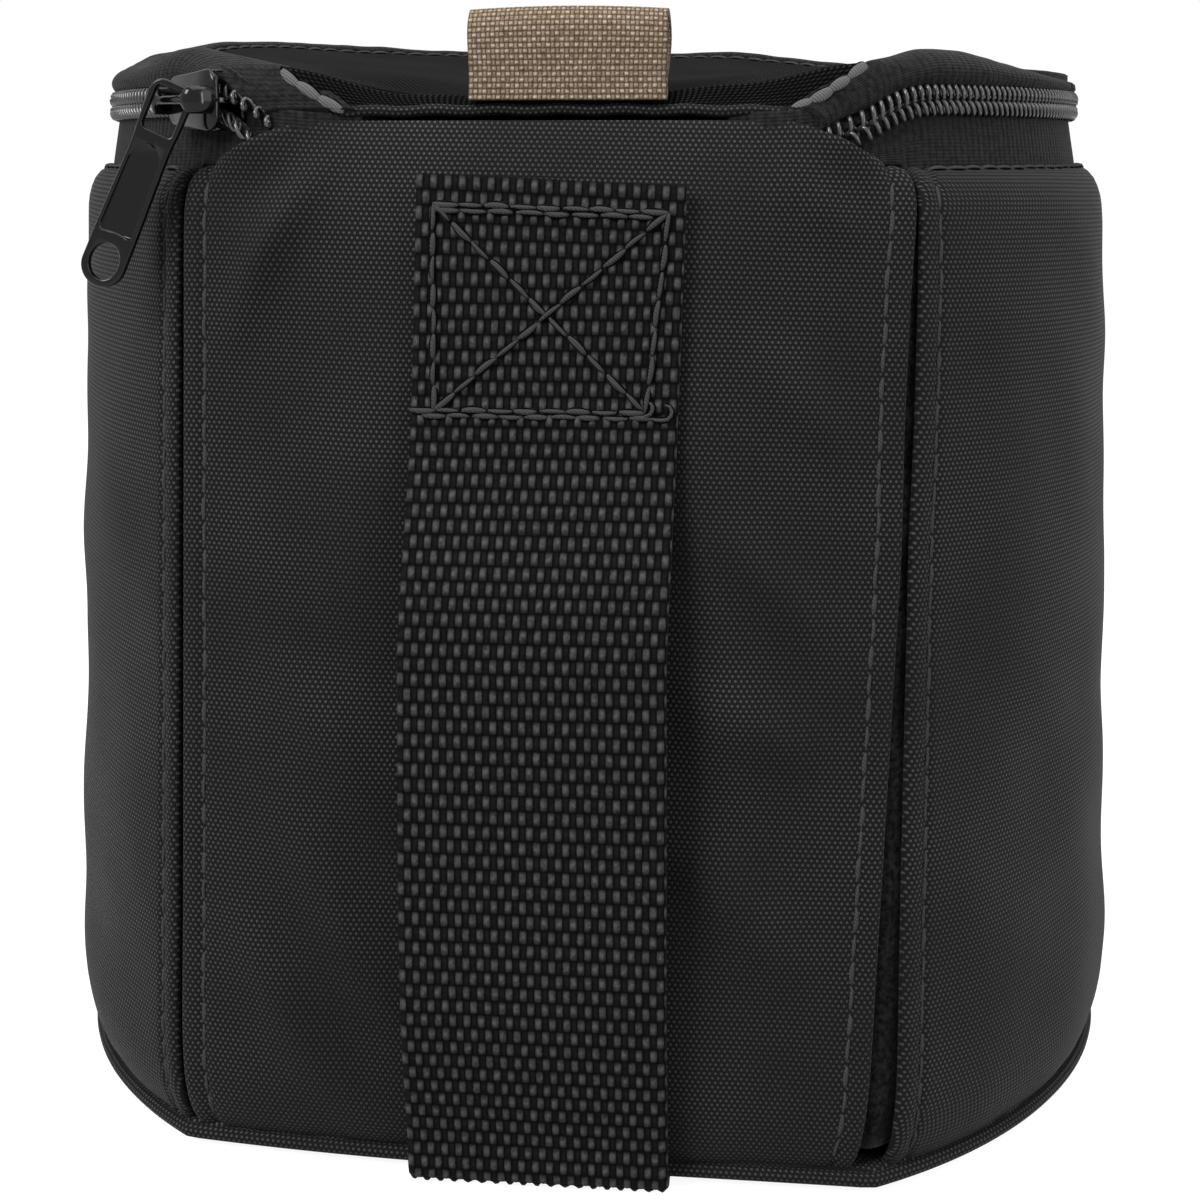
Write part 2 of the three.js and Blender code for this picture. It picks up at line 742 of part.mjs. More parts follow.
const neckEnd = sliderHalfLength - neckSetback;
const neckOutline = [
  [neckEnd - neckLength, -neckHalfHeight / 2],
  [neckEnd, -neckHalfHeight],
  [neckEnd, neckHalfHeight],
  [neckEnd - neckLength, neckHalfHeight / 2],
];
const sliderSolid = outwardPlate(shieldOutline(1), coilFace, plateFace)
  .add(flange(1))
  .add(flange(-1))
  .add(outwardPlate(neckOutline, innerPlateFace - sliderPlate / 2, plateMiddle))
  .add(outwardPlate(shieldOutline(innerPlateShare), innerPlateFace - sliderPlate, innerPlateFace))
  .add(bridge());
const slider = new THREE.Group();
slider.rotation.z = radians(sliderAngle);
pouch.add(slider);
add('slider_body', fromSolid(sliderSolid), enamelledMetal, slider);

// Pull tab: it threads the bridge and hangs slanting, its face towards the back of the pouch
const pullFootCentre = pullLength - pullHalfWidth;
function pullOutline() {
  const bottom = evenSteps(0, halfTurn, roundSides).map((turn) => [
    pullHalfWidth * Math.cos(radians(turn)),
    -pullFootCentre - pullHalfWidth * Math.sin(radians(turn)),
  ]);
  const side = [
    [pullTopHalfWidth * pullHeadWidthShare, pullHeadRise],
    [pullTopHalfWidth, pullHeadRise * pullShoulderShare],
    [pullTopHalfWidth, -pullSlotLength * pullCheekShare],
    [pullNeckHalfWidth, -pullSlotLength * pullWaistShare],
  ];
  return [...side, ...bottom, ...side.map(([x, z]) => [-x, z]).reverse()];
}

function pullSlot() {
  const half = pullSlotHalfWidth;
  const cut = half * pullSlotCornerShare;
  const low = -pullSlotLength;
  const side = [[half - cut, low], [half, low + cut], [half, pullSlotRise - cut], [half - cut, pullSlotRise]];
  return [...side, ...side.map(([x, z]) => [-x, z]).reverse()];
}

const pullEye = evenSteps(0, fullTurn, eyeSides / 2).slice(0, -1).map((turn) => [
  pullEyeHalfWidth * Math.cos(radians(turn)),
  pullEyeRaise - pullFootCentre + pullEyeHalfLength * Math.sin(radians(turn)),
]);
const pullGeometry = extrude(toShape(pullOutline(), [pullSlot(), pullEye]), pullThickness);
pullGeometry.translate(0, 0, -pullThickness / 2);
pullGeometry.rotateZ(radians(-pullSlantAngle));
pullGeometry.rotateX(Math.PI / 2);
const pull = add('pull_tab', pullGeometry, enamelledMetal);
pull.position.copy(polar(bridgeAxis, sliderAngle, chainCentre));

// Hinge fold between the back flap and the lid
const foldLength = 2 * (hingeReach * Math.tan(radians(flapAngle)) + hingeFoldLap);
const foldGeometry = new THREE.CylinderGeometry(hingeFoldRadius, hingeFoldRadius, foldLength, roundSides * 2);
foldGeometry.rotateZ(Math.PI / 2);
foldGeometry.translate(0, -hingeReach, hingeHeight);
add('hinge_fold', foldGeometry, blackNylon);

// Lid section: the same circle, cut straight across behind the hinge fold
function lidEdge(angle, inset, rearInset) {
  const across = Math.cos(radians(foldedAngle(angle)));
  const radius = lidRadius - inset;
  const reach = lidReach - rearInset;
  return across > reach / radius ? reach / across : radius;
}

// The rim rises from the hinge to the rear corners, dips at the sides and climbs to the front.
function rimHeight(angle) {
  const fold = foldedAngle(angle);
  const corner = lerp(rearRimRise, cornerRimRise, smooth(fold, rearRimAngle, cornerRimAngle));
  const side = lerp(corner, sideRimRise, smooth(fold, cornerRimAngle, sideRimAngle));
  return hingeHeight + lerp(side, frontRimRise, smooth(fold, sideRimEndAngle, frontRimAngle));
}

// The dished top: its height blends from the middle to the rim.
const middleHeight = hingeHeight + middleRise;
function dishHeight(angle, share) {
  return lerp(middleHeight, rimHeight(angle), share ** 2);
}

const lidAngles = [...evenSteps(-lidCornerAngle, lidCornerAngle, panelSteps), ...wrapAngles];
const lidRearInset = rearLean + lidBandThickness + layerGap;
function lidLayer(name, inset, drop, thickness, material) {
  const loops = lidAngles.map((angle) => {
    const edge = lidEdge(angle, inset, lidRearInset);
    const line = (depth) => dishShares.map((share) => {
      const height = dishHeight(angle, share) - depth;
      return polar(edge * share, angle, height);
    });
    const axisTop = new THREE.Vector3(0, 0, middleHeight - drop);
    const axisUnder = new THREE.Vector3(0, 0, middleHeight - drop - thickness);
    return [axisUnder, ...line(drop + thickness).reverse(), ...line(drop), axisTop];
  });
  add(name, loft(loops, true), material, lid);
}
const lidTopInset = lidRimInset + lidTopClearance;
const lidFoamDrop = lidTopThickness + layerGap;
const lidLiningDrop = lidFoamDrop + lidFoamThickness + layerGap * 2;
lidLayer('lid_top_panel', lidTopInset, 0, lidTopThickness, blackNylon);
lidLayer('lid_foam', lidTopInset, lidFoamDrop, lidFoamThickness, paddingFoam);
lidLayer('lid_lining', lidRimInset + lidLiningSetback, lidLiningDrop, lidLiningThickness, brushedLining);

// Side band
const bandAngles = [lidCornerAngle, seamAngle, ...wrapAngles, leftSeamStation, fullTurn - lidCornerAngle];
const bandLoops = bandAngles.map((angle) => {
  const foot = bandFoot(angle);
  const rim = rimHeight(angle);
  const bend = foot + bandLap;
  const slope = bandShares.map(([out, up]) => [lidRimInset * out, lerp(bend, rim, up)]);
  const outline = thicken([[0, foot], [0, bend], ...slope, [lidRimInset, rim]], lidBandThickness);
  return outline.map(([inset, z]) => polar(lidRadius - inset, angle, z));
});
add('lid_band', loft(bandLoops, false), zipTape, lid);

// Rear strip, from the hinge fold up to the lid's rear edge
const rearStripFoot = hingeHeight + rearStripRise;
const stripLoops = evenSteps(-rearStripAngle, rearStripAngle, panelSteps).map((angle) => {
  const rim = rimHeight(angle);
  const outline = thicken([
    [0, rearStripFoot],
    [rearLean * rearSoftShare, lerp(rearStripFoot, rim, rearHalfShare)],
    [rearLean, rim],
  ], lidBandThickness);
  return outline.map(([rearInset, z]) => polar(lidEdge(angle, 0, rearInset), angle, z));
});
add('lid_rear_strip', loft(stripLoops, false), blackNylon, lid);

// Hanging loop: doubled webbing, sewn flat at its foot, with an open eye above
const tongueFront = hingeReach + (loopTongueThickness - layerGap) / 2;
const tongueBack = tongueFront - loopTongueThickness;
const eyeReach = tongueFront - loopWebbing - loopEyeHalfWidth;
const eyeHeight = hingeHeight + loopEyeRise;
const loopFoot = hingeHeight + loopFootRise;
function ellipse(halfWidth, halfHeight, from, to, steps) {
  return evenSteps(from, to, steps).map((turn) => [
    halfWidth * Math.cos(radians(turn)) - eyeReach,
    halfHeight * Math.sin(radians(turn)) + eyeHeight,
  ]);
}
const outerHalfWidth = loopEyeHalfWidth + loopWebbing;
const outerHalfHeight = loopEyeHalfHeight + loopWebbing;
const loopOutline = [
  [-tongueBack, loopFoot],
  [-tongueBack, eyeHeight - outerHalfHeight],
  ...ellipse(outerHalfWidth, outerHalfHeight, loopOpenAngle, halfTurn, loopSteps),
  [-tongueFront, loopFoot],
];
const loopEye = ellipse(loopEyeHalfWidth, loopEyeHalfHeight, 0, fullTurn, eyeSides).slice(0, -1);
add('hanging_loop', extrudeAcross(loopOutline, loopWidth, loopCentre, [loopEye]), tanWebbing, lid);

// Belt strap: sewn flat at its top, standing off for a belt, and turned in under the base
const strapTop = shoulderHeight - strapTopDrop;
const strapSew = strapTop - strapBoxHeight;
const strapBow = [
  [strapTop, layerGap],
  [strapSew, layerGap],
  ...strapBowShares.map(([heightShare, gapShare]) => [strapSew * heightShare, beltGap * gapShare]),
  [strapSew * strapFootShare, layerGap * 2],
].map(([z, standOff]) => [-(bodyReach(z) + standOff), z]);
const tailStart = baseReach + layerGap * 2;
const strapTail = [
  ...strapTailShares.map(([inShare, upShare]) => [
    strapThickness * inShare - tailStart,
    strapThickness * upShare,
  ]),
  [strapTailLength - baseReach, strapThickness],
];
const strapOutline = thicken([...strapBow, ...strapTail], strapThickness)
  .map(([y, z]) => [y, Math.max(z, 0)]);
add('belt_strap', extrudeAcross(strapOutline, strapWidth, 0), blackWebbing);

export default pouch;
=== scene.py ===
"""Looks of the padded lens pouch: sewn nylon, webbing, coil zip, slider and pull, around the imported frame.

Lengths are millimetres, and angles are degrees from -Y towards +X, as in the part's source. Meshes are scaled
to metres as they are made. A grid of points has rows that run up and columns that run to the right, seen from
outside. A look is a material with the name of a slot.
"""

import math

import bpy
import numpy as np
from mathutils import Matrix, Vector


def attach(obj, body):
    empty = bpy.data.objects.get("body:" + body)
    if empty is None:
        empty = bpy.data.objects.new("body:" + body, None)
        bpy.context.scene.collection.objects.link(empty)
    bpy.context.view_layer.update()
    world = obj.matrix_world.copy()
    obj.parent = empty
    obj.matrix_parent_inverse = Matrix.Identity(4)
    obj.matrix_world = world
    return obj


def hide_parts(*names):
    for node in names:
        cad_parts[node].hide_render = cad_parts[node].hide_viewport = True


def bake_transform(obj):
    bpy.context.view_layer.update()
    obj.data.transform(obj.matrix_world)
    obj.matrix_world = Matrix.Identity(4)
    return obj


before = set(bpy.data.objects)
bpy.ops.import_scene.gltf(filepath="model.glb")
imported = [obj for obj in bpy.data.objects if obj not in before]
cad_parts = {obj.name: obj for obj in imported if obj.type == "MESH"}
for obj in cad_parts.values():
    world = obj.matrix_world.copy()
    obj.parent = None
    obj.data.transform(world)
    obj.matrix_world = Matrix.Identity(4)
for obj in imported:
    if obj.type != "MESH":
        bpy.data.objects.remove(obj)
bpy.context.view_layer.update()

MM = 0.001

# Sizes repeated from the part's source. The body tapers from base to top. The reach is that of its flat back.
SHOULDER = 147.0
TOP_RADIUS, BASE_RADIUS = 85.2, 90.0
TOP_REACH, BASE_REACH = 71.5, 75.0
SEAM = 38.5
LEAN, LEAN_FADE = 5.0, 110.0
TAPE_RADIUS = 79.8
CHAIN = SHOULDER + 10
CHAIN_HALF = 2.4
ZIP_END = 29.5
SLIDER_ANGLE = -37.5
SLIDER_HALF = 5.7
COIL_FACE = 82.5
PLATE = 1.1
BRIDGE_AXIS = 87.1
HINGE_Y, HINGE_Z = -66.2, CHAIN - 1.4


# Numbers

def lerp(a, b, t):
    return a + (b - a) * t


def smooth(x, low, high):
    t = np.clip((x - low) / (high - low), 0, 1)
    return t * t * (3 - 2 * t)


def bell(x, middle, width):
    """1 at the middle, falling off to either side."""
    return np.exp(-(((x - middle) / width) ** 2))


def signed(angle):
    return (np.asarray(angle, float) + 540) % 360 - 180


def folded(angle):
    return np.abs(signed(angle))


def turns(count):
    """Angles in radians that divide a full turn."""
    return np.linspace(0, 2 * np.pi, count, endpoint=False)


def stacked(*parts):
    """Vectors from their coordinates, which are numbers or arrays that fit one another."""
    return np.stack(np.broadcast_arrays(*parts), -1)


def polar(radius, angle, z):
    a = np.radians(angle)
    return stacked(radius * np.sin(a), -radius * np.cos(a), z)


def unit(v):
    return v / np.maximum(np.linalg.norm(v, axis=-1, keepdims=True), 1e-9)


HASH_X, HASH_Y, HASH_Z, HASH_SEED = 374761393, 668265263, 2147483647, 1274126177
LOW_32, LOW_16 = 0xFFFFFFFF, 0xFFFF


def noise(points, size, seed):
    """Smooth random values between -1 and 1 at 3-D points, with lumps of the given size.

    A hash of each cell's corner stands in for a random draw, so the values are the same in each run.
    """
    p = np.asarray(points, float) / size + seed * 17.31
    cell = np.floor(p).astype(np.int64)
    f = p - cell
    f = f * f * (3 - 2 * f)
    total = 0
    for corner in np.ndindex(2, 2, 2):
        x, y, z = np.moveaxis(cell + np.array(corner), -1, 0)
        h = (x * HASH_X + y * HASH_Y + z * HASH_Z + seed * HASH_SEED) & LOW_32
        h = ((h ^ (h >> 13)) * HASH_SEED) & LOW_32
        value = ((h ^ (h >> 16)) & LOW_16) / (LOW_16 / 2) - 1
        total = total + value * np.prod(np.where(np.array(corner) == 1, f, 1 - f), axis=-1)
    return total


def distances(p, axis=0):
    """How far each point lies from the first, along a path or along one axis of a grid."""
    return np.insert(np.cumsum(np.linalg.norm(np.diff(p, axis=axis), axis=-1), axis=axis), 0, 0, axis=axis)


def sampled(at, along, values):
    """Vectors read off at the given places along a line of vectors."""
    return np.stack([np.interp(at, along, column) for column in np.transpose(values)], -1)


def curve_through(points, count):
    """A smooth open curve through the points, sampled evenly along its length."""
    p = np.asarray(points, float)
    ends = np.vstack([2 * p[0] - p[1], p, 2 * p[-1] - p[-2]])
    gaps = np.sqrt(np.linalg.norm(np.diff(ends, axis=0), axis=1))
    t = np.linspace(0, 1, 24, endpoint=False)[:, None]
    runs = []
    for i in range(1, len(ends) - 2):
        a, b, c, d = ends[i - 1:i + 3]
        before, here, after = gaps[i - 1:i + 2]
        leave = (b - a) / before - (c - a) / (before + here) + (c - b) / here
        arrive = (c - b) / here - (d - b) / (here + after) + (d - c) / after
        runs.append((2 * t**3 - 3 * t**2 + 1) * b + (t**3 - 2 * t**2 + t) * here * leave
                    + (3 * t**2 - 2 * t**3) * c + (t**3 - t**2) * here * arrive)
    path = np.vstack([*runs, p[-1:]])
    along = distances(path)
    return sampled(np.linspace(0, along[-1], count), along, path)


def grid_normals(p):
    return unit(np.cross(np.gradient(p, axis=1), np.gradient(p, axis=0)))


def raised(p, height):
    """The grid, pushed out along its normals."""
    return p + grid_normals(p) * height[..., None]


# Meshes

def link(name, data):
    obj = bpy.data.objects.new(name, data)
    bpy.context.scene.collection.objects.link(obj)
    return obj


def make(name, points, faces, look, replaced=(), body="pouch_body", uv=None):
    """One visual piece. It rides a body, or none."""
    material, slot = look
    mesh = bpy.data.meshes.new(name)
    mesh.from_pydata((np.reshape(points, (-1, 3)) * MM).tolist(), [], [list(map(int, f)) for f in faces])
    mesh.materials.append(material)
    if uv is not None:
        corners = np.reshape(uv, (-1, 2)).astype(np.float32)[np.concatenate(faces)]
        mesh.uv_layers.new(name="weave").data.foreach_set("uv", corners.ravel())
    mesh.shade_smooth()
    mesh.validate()
    mesh.update()
    obj = link(name, mesh)
    if body:
        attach(obj, body)
    if replaced:
        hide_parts(*replaced)
    return obj


def quads(rows, cols, start=0, wrap_rows=False, wrap_cols=False, flip=False):
    """The faces between a grid's points, which are numbered from the start."""
    i = np.arange(rows if wrap_rows else rows - 1)[:, None]
    j = np.arange(cols if wrap_cols else cols - 1)
    row, next_row, next_j = i * cols, (i + 1) % rows * cols, (j + 1) % cols
    faces = stacked(row + j, row + next_j, next_row + next_j, next_row + j).reshape(-1, 4)
    return (faces[:, ::-1] if flip else faces) + start


def tube_faces(rows, cols, start=0, flip=False):
    """The faces of closed loops joined into a solid, with a flat end on the first and the last loop."""
    first = [start + j for j in range(cols)]
    last = [v + (rows - 1) * cols for v in first]
    ends = [first, last[::-1]] if flip else [first[::-1], last]
    return [*quads(rows, cols, start, wrap_cols=True, flip=flip).tolist(), *ends]


def joined(parts):
    """Several pairs of points and faces as one pair."""
    starts = np.cumsum([0] + [len(points) for points, _ in parts])
    faces = [[v + start for v in face] for start, (_, part) in zip(starts, parts) for face in part]
    return np.concatenate([points for points, _ in parts]), faces


def grid_uv(p):
    """Millimetre lengths along columns and rows, for weave that follows the sheet."""
    return stacked(distances(p, 1).mean(0), distances(p).mean(1)[:, None])


def cloth(name, p, thickness, look, replaced, body="pouch_body", uv=None, wrap=False):
    """A sheet with closed edges, whose outer face is the grid p. A wrapped grid ends on its first column."""
    uv = grid_uv(p) if uv is None else uv
    padded = np.concatenate([p[:, -2:-1], p, p[:, 1:2]], 1) if wrap else p
    normals = grid_normals(padded)[:, 1:-1] if wrap else grid_normals(p)
    both = np.array([p, p - normals * thickness])
    if wrap:
        both, uv = both[:, :, :-1], uv[:, :-1]
    rows, cols = uv.shape[:2]
    count = rows * cols
    number = np.arange(count).reshape(rows, cols)
    faces = [quads(rows, cols, wrap_cols=wrap), quads(rows, cols, count, wrap_cols=wrap, flip=True)]
    borders = [number[0, ::-1], number[-1]] + ([] if wrap else [number[:, 0], number[::-1, -1]])
    for edge in borders:
        a, b = (edge, np.roll(edge, -1)) if wrap else (edge[:-1], edge[1:])
        faces.append(stacked(a, b, b + count, a + count))
    return make(name, both, np.concatenate(faces), look, replaced, body, [uv, uv])


STITCH_INSET = 3.2
STITCH_PITCH = 3.8
STITCH_SIDES, STITCH_RINGS = 8, 9
THREAD_TONE = 0.42
# The wider, lower copy of each stitch row is black: painted shade round the thread.
SHADE_RIBBON_WIDER, SHADE_RIBBON_LOWER = 0.42, 0.17


def stitch_line(path, normals, pitch, width, lift, length, seed):
    """A row of flat thread stitches laid along a path on a surface, each of the given share of the pitch."""
    along = distances(path)
    count = max(int(round(along[-1] / pitch)), 1)
    k = np.arange(count)[:, None]
    t = np.linspace(0, 1, STITCH_RINGS)
    wobble = 0.06 * np.sin(k * 2.4 + seed)
    s = np.clip((k + t * (length + wobble)) * (along[-1] / count), 0, along[-1])
    centre = sampled(s, along, path)
    normal = unit(sampled(s, along, normals))
    side = unit(np.cross(unit(np.gradient(centre, axis=1)), normal))
    swell = np.sin(np.pi * np.clip(t, 0.03, 0.97)) ** 0.35
    centre = centre + normal * (lift - 0.34 * (1 - swell))[:, None]
    centre = centre + side * (0.12 * np.sin(k * 1.7 + seed) * np.sin(np.pi * t) + 0.1 * (t - 0.5))[..., None]
    turn = turns(STITCH_SIDES)[:, None]
    wide = width / 2 * (1 + 0.16 * np.sin(k * 3.1 + seed))[..., None, None]
    ring = side[:, :, None] * np.cos(turn) * wide + normal[:, :, None] * np.sin(turn) * 0.26
    points = centre[:, :, None] + ring * swell[:, None, None]
    one = STITCH_RINGS * STITCH_SIDES
    faces = [f for i in range(count) for f in tube_faces(STITCH_RINGS, STITCH_SIDES, i * one, flip=True)]
    return points.reshape(-1, 3), faces


def thread_row(path, normals, pitch, width, lift=0.1, length=0.9, seed=0, tone=THREAD_TONE):
    """A row of stitches, and under it a wider black one that is painted shade round the thread, each with its
    tone.
    """
    return ((stitch_line(path, normals, pitch, width, lift, length, seed), tone),
            (stitch_line(path, normals, pitch, width + SHADE_RIBBON_WIDER, lift - SHADE_RIBBON_LOWER, length, seed), 0))


def stitches(name, lines, look, body="pouch_body"):
    """One piece of several stitch lines, each given as thread_row takes it."""
    rows = [row for line in lines for row in thread_row(*line)]
    uv = np.concatenate([np.full((len(points), 2), tone) for (points, _), tone in rows])
    make(name, *joined([part for part, _ in rows]), look, body=body, uv=uv)


# Materials

class Nodes:
    """Short calls for building a node tree. Positions are in millimetres."""

    def __init__(self, tree):
        self.tree = tree

    def add(self, kind, **settings):
        node = self.tree.nodes.new(kind)
        for key, value in settings.items():
            setattr(node, key, value)
        return node

    def link(self, a, b):
        self.tree.links.new(a, b)

    def math(self, operation, *values):
        node = self.add("ShaderNodeMath", operation=operation)
        for socket, value in zip(node.inputs, values):
            if isinstance(value, (int, float)):
                socket.default_value = value
            else:
                self.link(value, socket)
        return node.outputs[0]

    def times(self, a, b):
        return self.math("MULTIPLY", a, b)

    def plus(self, a, b):
        return self.math("ADD", a, b)

    def uv(self):
        node = self.add("ShaderNodeUVMap", uv_map="weave")
        split = self.add("ShaderNodeSeparateXYZ")
        self.link(node.outputs[0], split.inputs[0])
        return split.outputs[0], split.outputs[1]

    def position(self):
        node = self.add("ShaderNodeTexCoord")
        mapping = self.add("ShaderNodeMapping")
        mapping.inputs["Scale"].default_value = (1 / MM,) * 3
        self.link(node.outputs["Object"], mapping.inputs[0])
        return mapping.outputs[0]

    def noise(self, scale, detail):
        node = self.add("ShaderNodeTexNoise")
        node.inputs["Scale"].default_value = scale
        node.inputs["Detail"].default_value = detail
        self.link(self.position(), node.inputs["Vector"])
        return node.outputs["Fac"]

    def ramp(self, value, low, high, out_low=0.0, out_high=1.0):
        node = self.add("ShaderNodeMapRange")
        for socket, number in zip(node.inputs[1:5], (low, high, out_low, out_high)):
            socket.default_value = number
        self.link(value, node.inputs[0])
        return node.outputs[0]

    def wide_rays(self):
        """1 for the rays that see a white background: camera, glossy and transmission. 0 for all others."""
        path = self.add("ShaderNodeLightPath")
        total = path.outputs["Is Camera Ray"]
        for ray in ("Is Glossy Ray", "Is Transmission Ray"):
            total = self.math("MAXIMUM", total, path.outputs[ray])
        return total


class Surface(Nodes):
    """A Principled material and the nodes that feed it."""

    def __init__(self, name, color, roughness, specular, sheen=0.0):
        self.material = bpy.data.materials.new(name)
        self.material.use_nodes = True
        super().__init__(self.material.node_tree)
        self.shader = self.tree.nodes["Principled BSDF"]
        for key, value in {"Base Color": (*color, 1), "Roughness": roughness, "Specular IOR Level": specular,
                           "Sheen Weight": sheen, "Sheen Roughness": 0.4}.items():
            self.shader.inputs[key].default_value = value

    def color(self, factor, low, high):
        """Mixes two colours. A Mix node's colour sockets are 6 and 7, and its colour output is 2."""
        node = self.add("ShaderNodeMix", data_type="RGBA")
        node.inputs[6].default_value = (*low, 1)
        node.inputs[7].default_value = (*high, 1)
        self.link(factor, node.inputs[0])
        self.link(node.outputs[2], self.shader.inputs["Base Color"])

    def roughness(self, value):
        self.link(value, self.shader.inputs["Roughness"])

    def bump(self, height, depth):
        node = self.add("ShaderNodeBump")
        node.inputs["Distance"].default_value = depth * MM
        node.inputs["Strength"].default_value = 1.0
        self.link(height, node.inputs["Height"])
        self.link(node.outputs[0], self.shader.inputs["Normal"])


def plain_weave(m, pitch, sharp, under):
    """Thread height of a plain weave over the UVs, from 0 in the gaps to 1 on the crowns."""
    a, b = (m.math("SINE", m.times(value, math.pi / step)) for value, step in zip(m.uv(), pitch))
    over = m.math("GREATER_THAN", m.times(a, b), 0.0)
    a, b = m.math("ABSOLUTE", a), m.math("ABSOLUTE", b)
    weft = m.times(m.math("POWER", a, sharp), b)
    warp = m.times(m.times(a, m.math("POWER", b, sharp)), under)
    return m.plus(m.times(weft, over), m.times(warp, m.math("SUBTRACT", 1.0, over)))


def woven_nylon(name, low, high, depth=0.09, specular=0.1):
    """Fine plain weave: small bright oval dots in offset rows on a dark ground, with uneven tension. The dots
    are painted highlights on the thread crowns, and the darkest ground in the gaps between them is painted
    shade.
    """
    m = Surface(name, high, 0.7, specular, 0.03)
    height = plain_weave(m, (0.41, 0.68), 0.2, 0.3)
    uneven = m.ramp(m.noise(0.045, 3.0), 0.3, 0.7, 0.55, 1.2)
    # The colour follows the thread height: painted highlight on the crowns, painted shade in the gaps, times
    # a random tone.
    m.color(m.times(m.math("POWER", height, 2.9), uneven), low, high)
    m.roughness(m.ramp(height, 0.0, 1.0, 0.85, 0.55))
    m.bump(m.plus(height, m.times(m.noise(1.9, 2.0), 0.3)), depth)
    return m.material


def webbing(name, low, high, pitch, depth, rough, specular, under=0.15):
    """Coarse webbing: fibre bundles over the weave, with dark gaps between them. The colour follows the
    weave's height, so the bright crowns are painted highlights and the dark gaps are painted shade.
    """
    m = Surface(name, high, rough, specular, 0.03)
    u, v = m.uv()
    height = plain_weave(m, pitch, 0.35, under)
    fibres = m.math("SINE", m.times(m.plus(u, m.times(v, 0.35)), 2 * math.pi / 0.26))
    fine = m.noise(1.6, 4.0)
    # Painted highlight on the crowns and painted shade in the gaps, times a random tone.
    m.color(m.times(m.math("POWER", height, 1.1), m.ramp(fine, 0.25, 0.75, 0.3, 1.35)), low, high)
    m.roughness(m.ramp(height, 0.0, 1.0, rough + 0.2, rough - 0.15))
    m.bump(m.plus(m.plus(height, m.times(fibres, 0.12)), m.times(fine, 0.5)), depth)
    return m.material


def ribbed_tape(name, low, high):
    m = Surface(name, high, 0.85, 0.08, 0.05)
    u, v = m.uv()
    rib = m.math("POWER", m.math("ABSOLUTE", m.math("SINE", m.times(u, math.pi / 1.33))), 0.8)
    across = m.math("ABSOLUTE", m.math("SINE", m.times(v, math.pi / 0.5)))
    fuzz = m.noise(1.3, 5.0)
    # The colour follows the ribs: painted highlight on the rib crowns and painted shade in the grooves, times
    # a random tone.
    m.color(m.times(m.plus(m.times(rib, 0.6), 0.5), m.ramp(fuzz, 0.3, 0.7, 0.2, 1.3)), low, high)
    m.bump(m.plus(m.times(rib, 0.45), m.times(m.plus(across, m.times(fuzz, 2.0)), 0.35)), 0.2)
    return m.material


def thread(name, low, high):
    """Sewing thread. UV u is its tone, and 0 on the black copy under each stitch, which is painted shade."""
    m = Surface(name, high, 0.6, 0.0, 0.03)
    wave = m.add("ShaderNodeTexWave", wave_type="BANDS", bands_direction="DIAGONAL")
    wave.inputs["Scale"].default_value = 1.1
    wave.inputs["Distortion"].default_value = 2.0
    m.link(m.position(), wave.inputs["Vector"])
    twist = wave.outputs["Fac"]
    m.color(m.times(m.uv()[0], m.ramp(twist, 0.0, 1.0, 0.6, 1.0)), low, high)
    m.bump(twist, 0.05)
    return m.material


def brushed_knit(name, low, high):
    m = Surface(name, high, 0.95, 0.05, 0.06)
    fuzz = m.noise(1.3, 5.0)
    m.color(m.times(m.ramp(fuzz, 0.35, 0.75), m.ramp(m.noise(0.09, 3.0), 0.3, 0.7, 0.5, 1.2)), low, high)
    m.bump(fuzz, 0.35)
    return m.material


def coil_plastic(name, color):
    m = Surface(name, color, 0.28, 0.6)
    fine = m.noise(0.8, 2.0)
    m.color(fine, (0.002, 0.002, 0.002), color)
    m.roughness(m.ramp(fine, 0.3, 0.7, 0.22, 0.38))
    m.bump(fine, 0.02)
    return m.material


def enamel(name, color):
    m = Surface(name, color, 0.12, 0.22)
    wear = m.noise(2.2, 4.0)
    m.color(m.ramp(wear, 0.66, 0.8), color, (0.012, 0.012, 0.012))
    m.roughness(m.ramp(wear, 0.3, 0.75, 0.09, 0.2))
    m.bump(m.noise(0.5, 2.0), 0.03)
    return m.material


WEAVE_PITCH = (1.02, 2.15)
NYLON = woven_nylon("black_nylon_cloth", (0.0025, 0.0025, 0.0026), (0.05, 0.05, 0.051)), "black_nylon"
# A darker copy of the nylon for the lid. The lid faces up and takes more light, so its colours are lowered as
# painted shade.
LID_NYLON_PAINTED_DARKER = woven_nylon("black_nylon_lid_painted_darker", (0.002, 0.002, 0.0021), (0.027, 0.027, 0.0275),
                        0.07, 0.0), "black_nylon"
WEBBING = webbing("black_webbing_weave", (0.0008, 0.0008, 0.0009), (0.06, 0.06, 0.061),
                  WEAVE_PITCH, 0.1, 0.75, 0.04), "black_webbing"
# The tan webbing's rust-brown low colour is painted shade in the gaps, and its pale high colour is painted
# highlight on the crowns.
TAN = webbing("tan_webbing_weave", (0.06, 0.028, 0.014), (0.37, 0.315, 0.235),
              (0.65, 0.8), 0.22, 0.8, 0.1, 0.6), "tan_webbing"
TAPE = ribbed_tape("zip_tape_rib", (0.001, 0.001, 0.001), (0.013, 0.013, 0.0135)), "zip_tape"
THREAD = thread("black_thread", (0.0008, 0.0008, 0.0008), (0.12, 0.12, 0.122)), "black_nylon"
STRAP_THREAD = THREAD[0], "black_webbing"
LINING = brushed_knit("brushed_lining_knit", (0.001, 0.001, 0.0011), (0.02, 0.02, 0.0215)), "brushed_lining"
COIL = coil_plastic("coil_nylon_gloss", (0.04, 0.04, 0.041)), "coil_nylon"
ENAMEL = enamel("black_enamel", (0.002, 0.002, 0.0022)), "enamelled_metal"


# Body surface

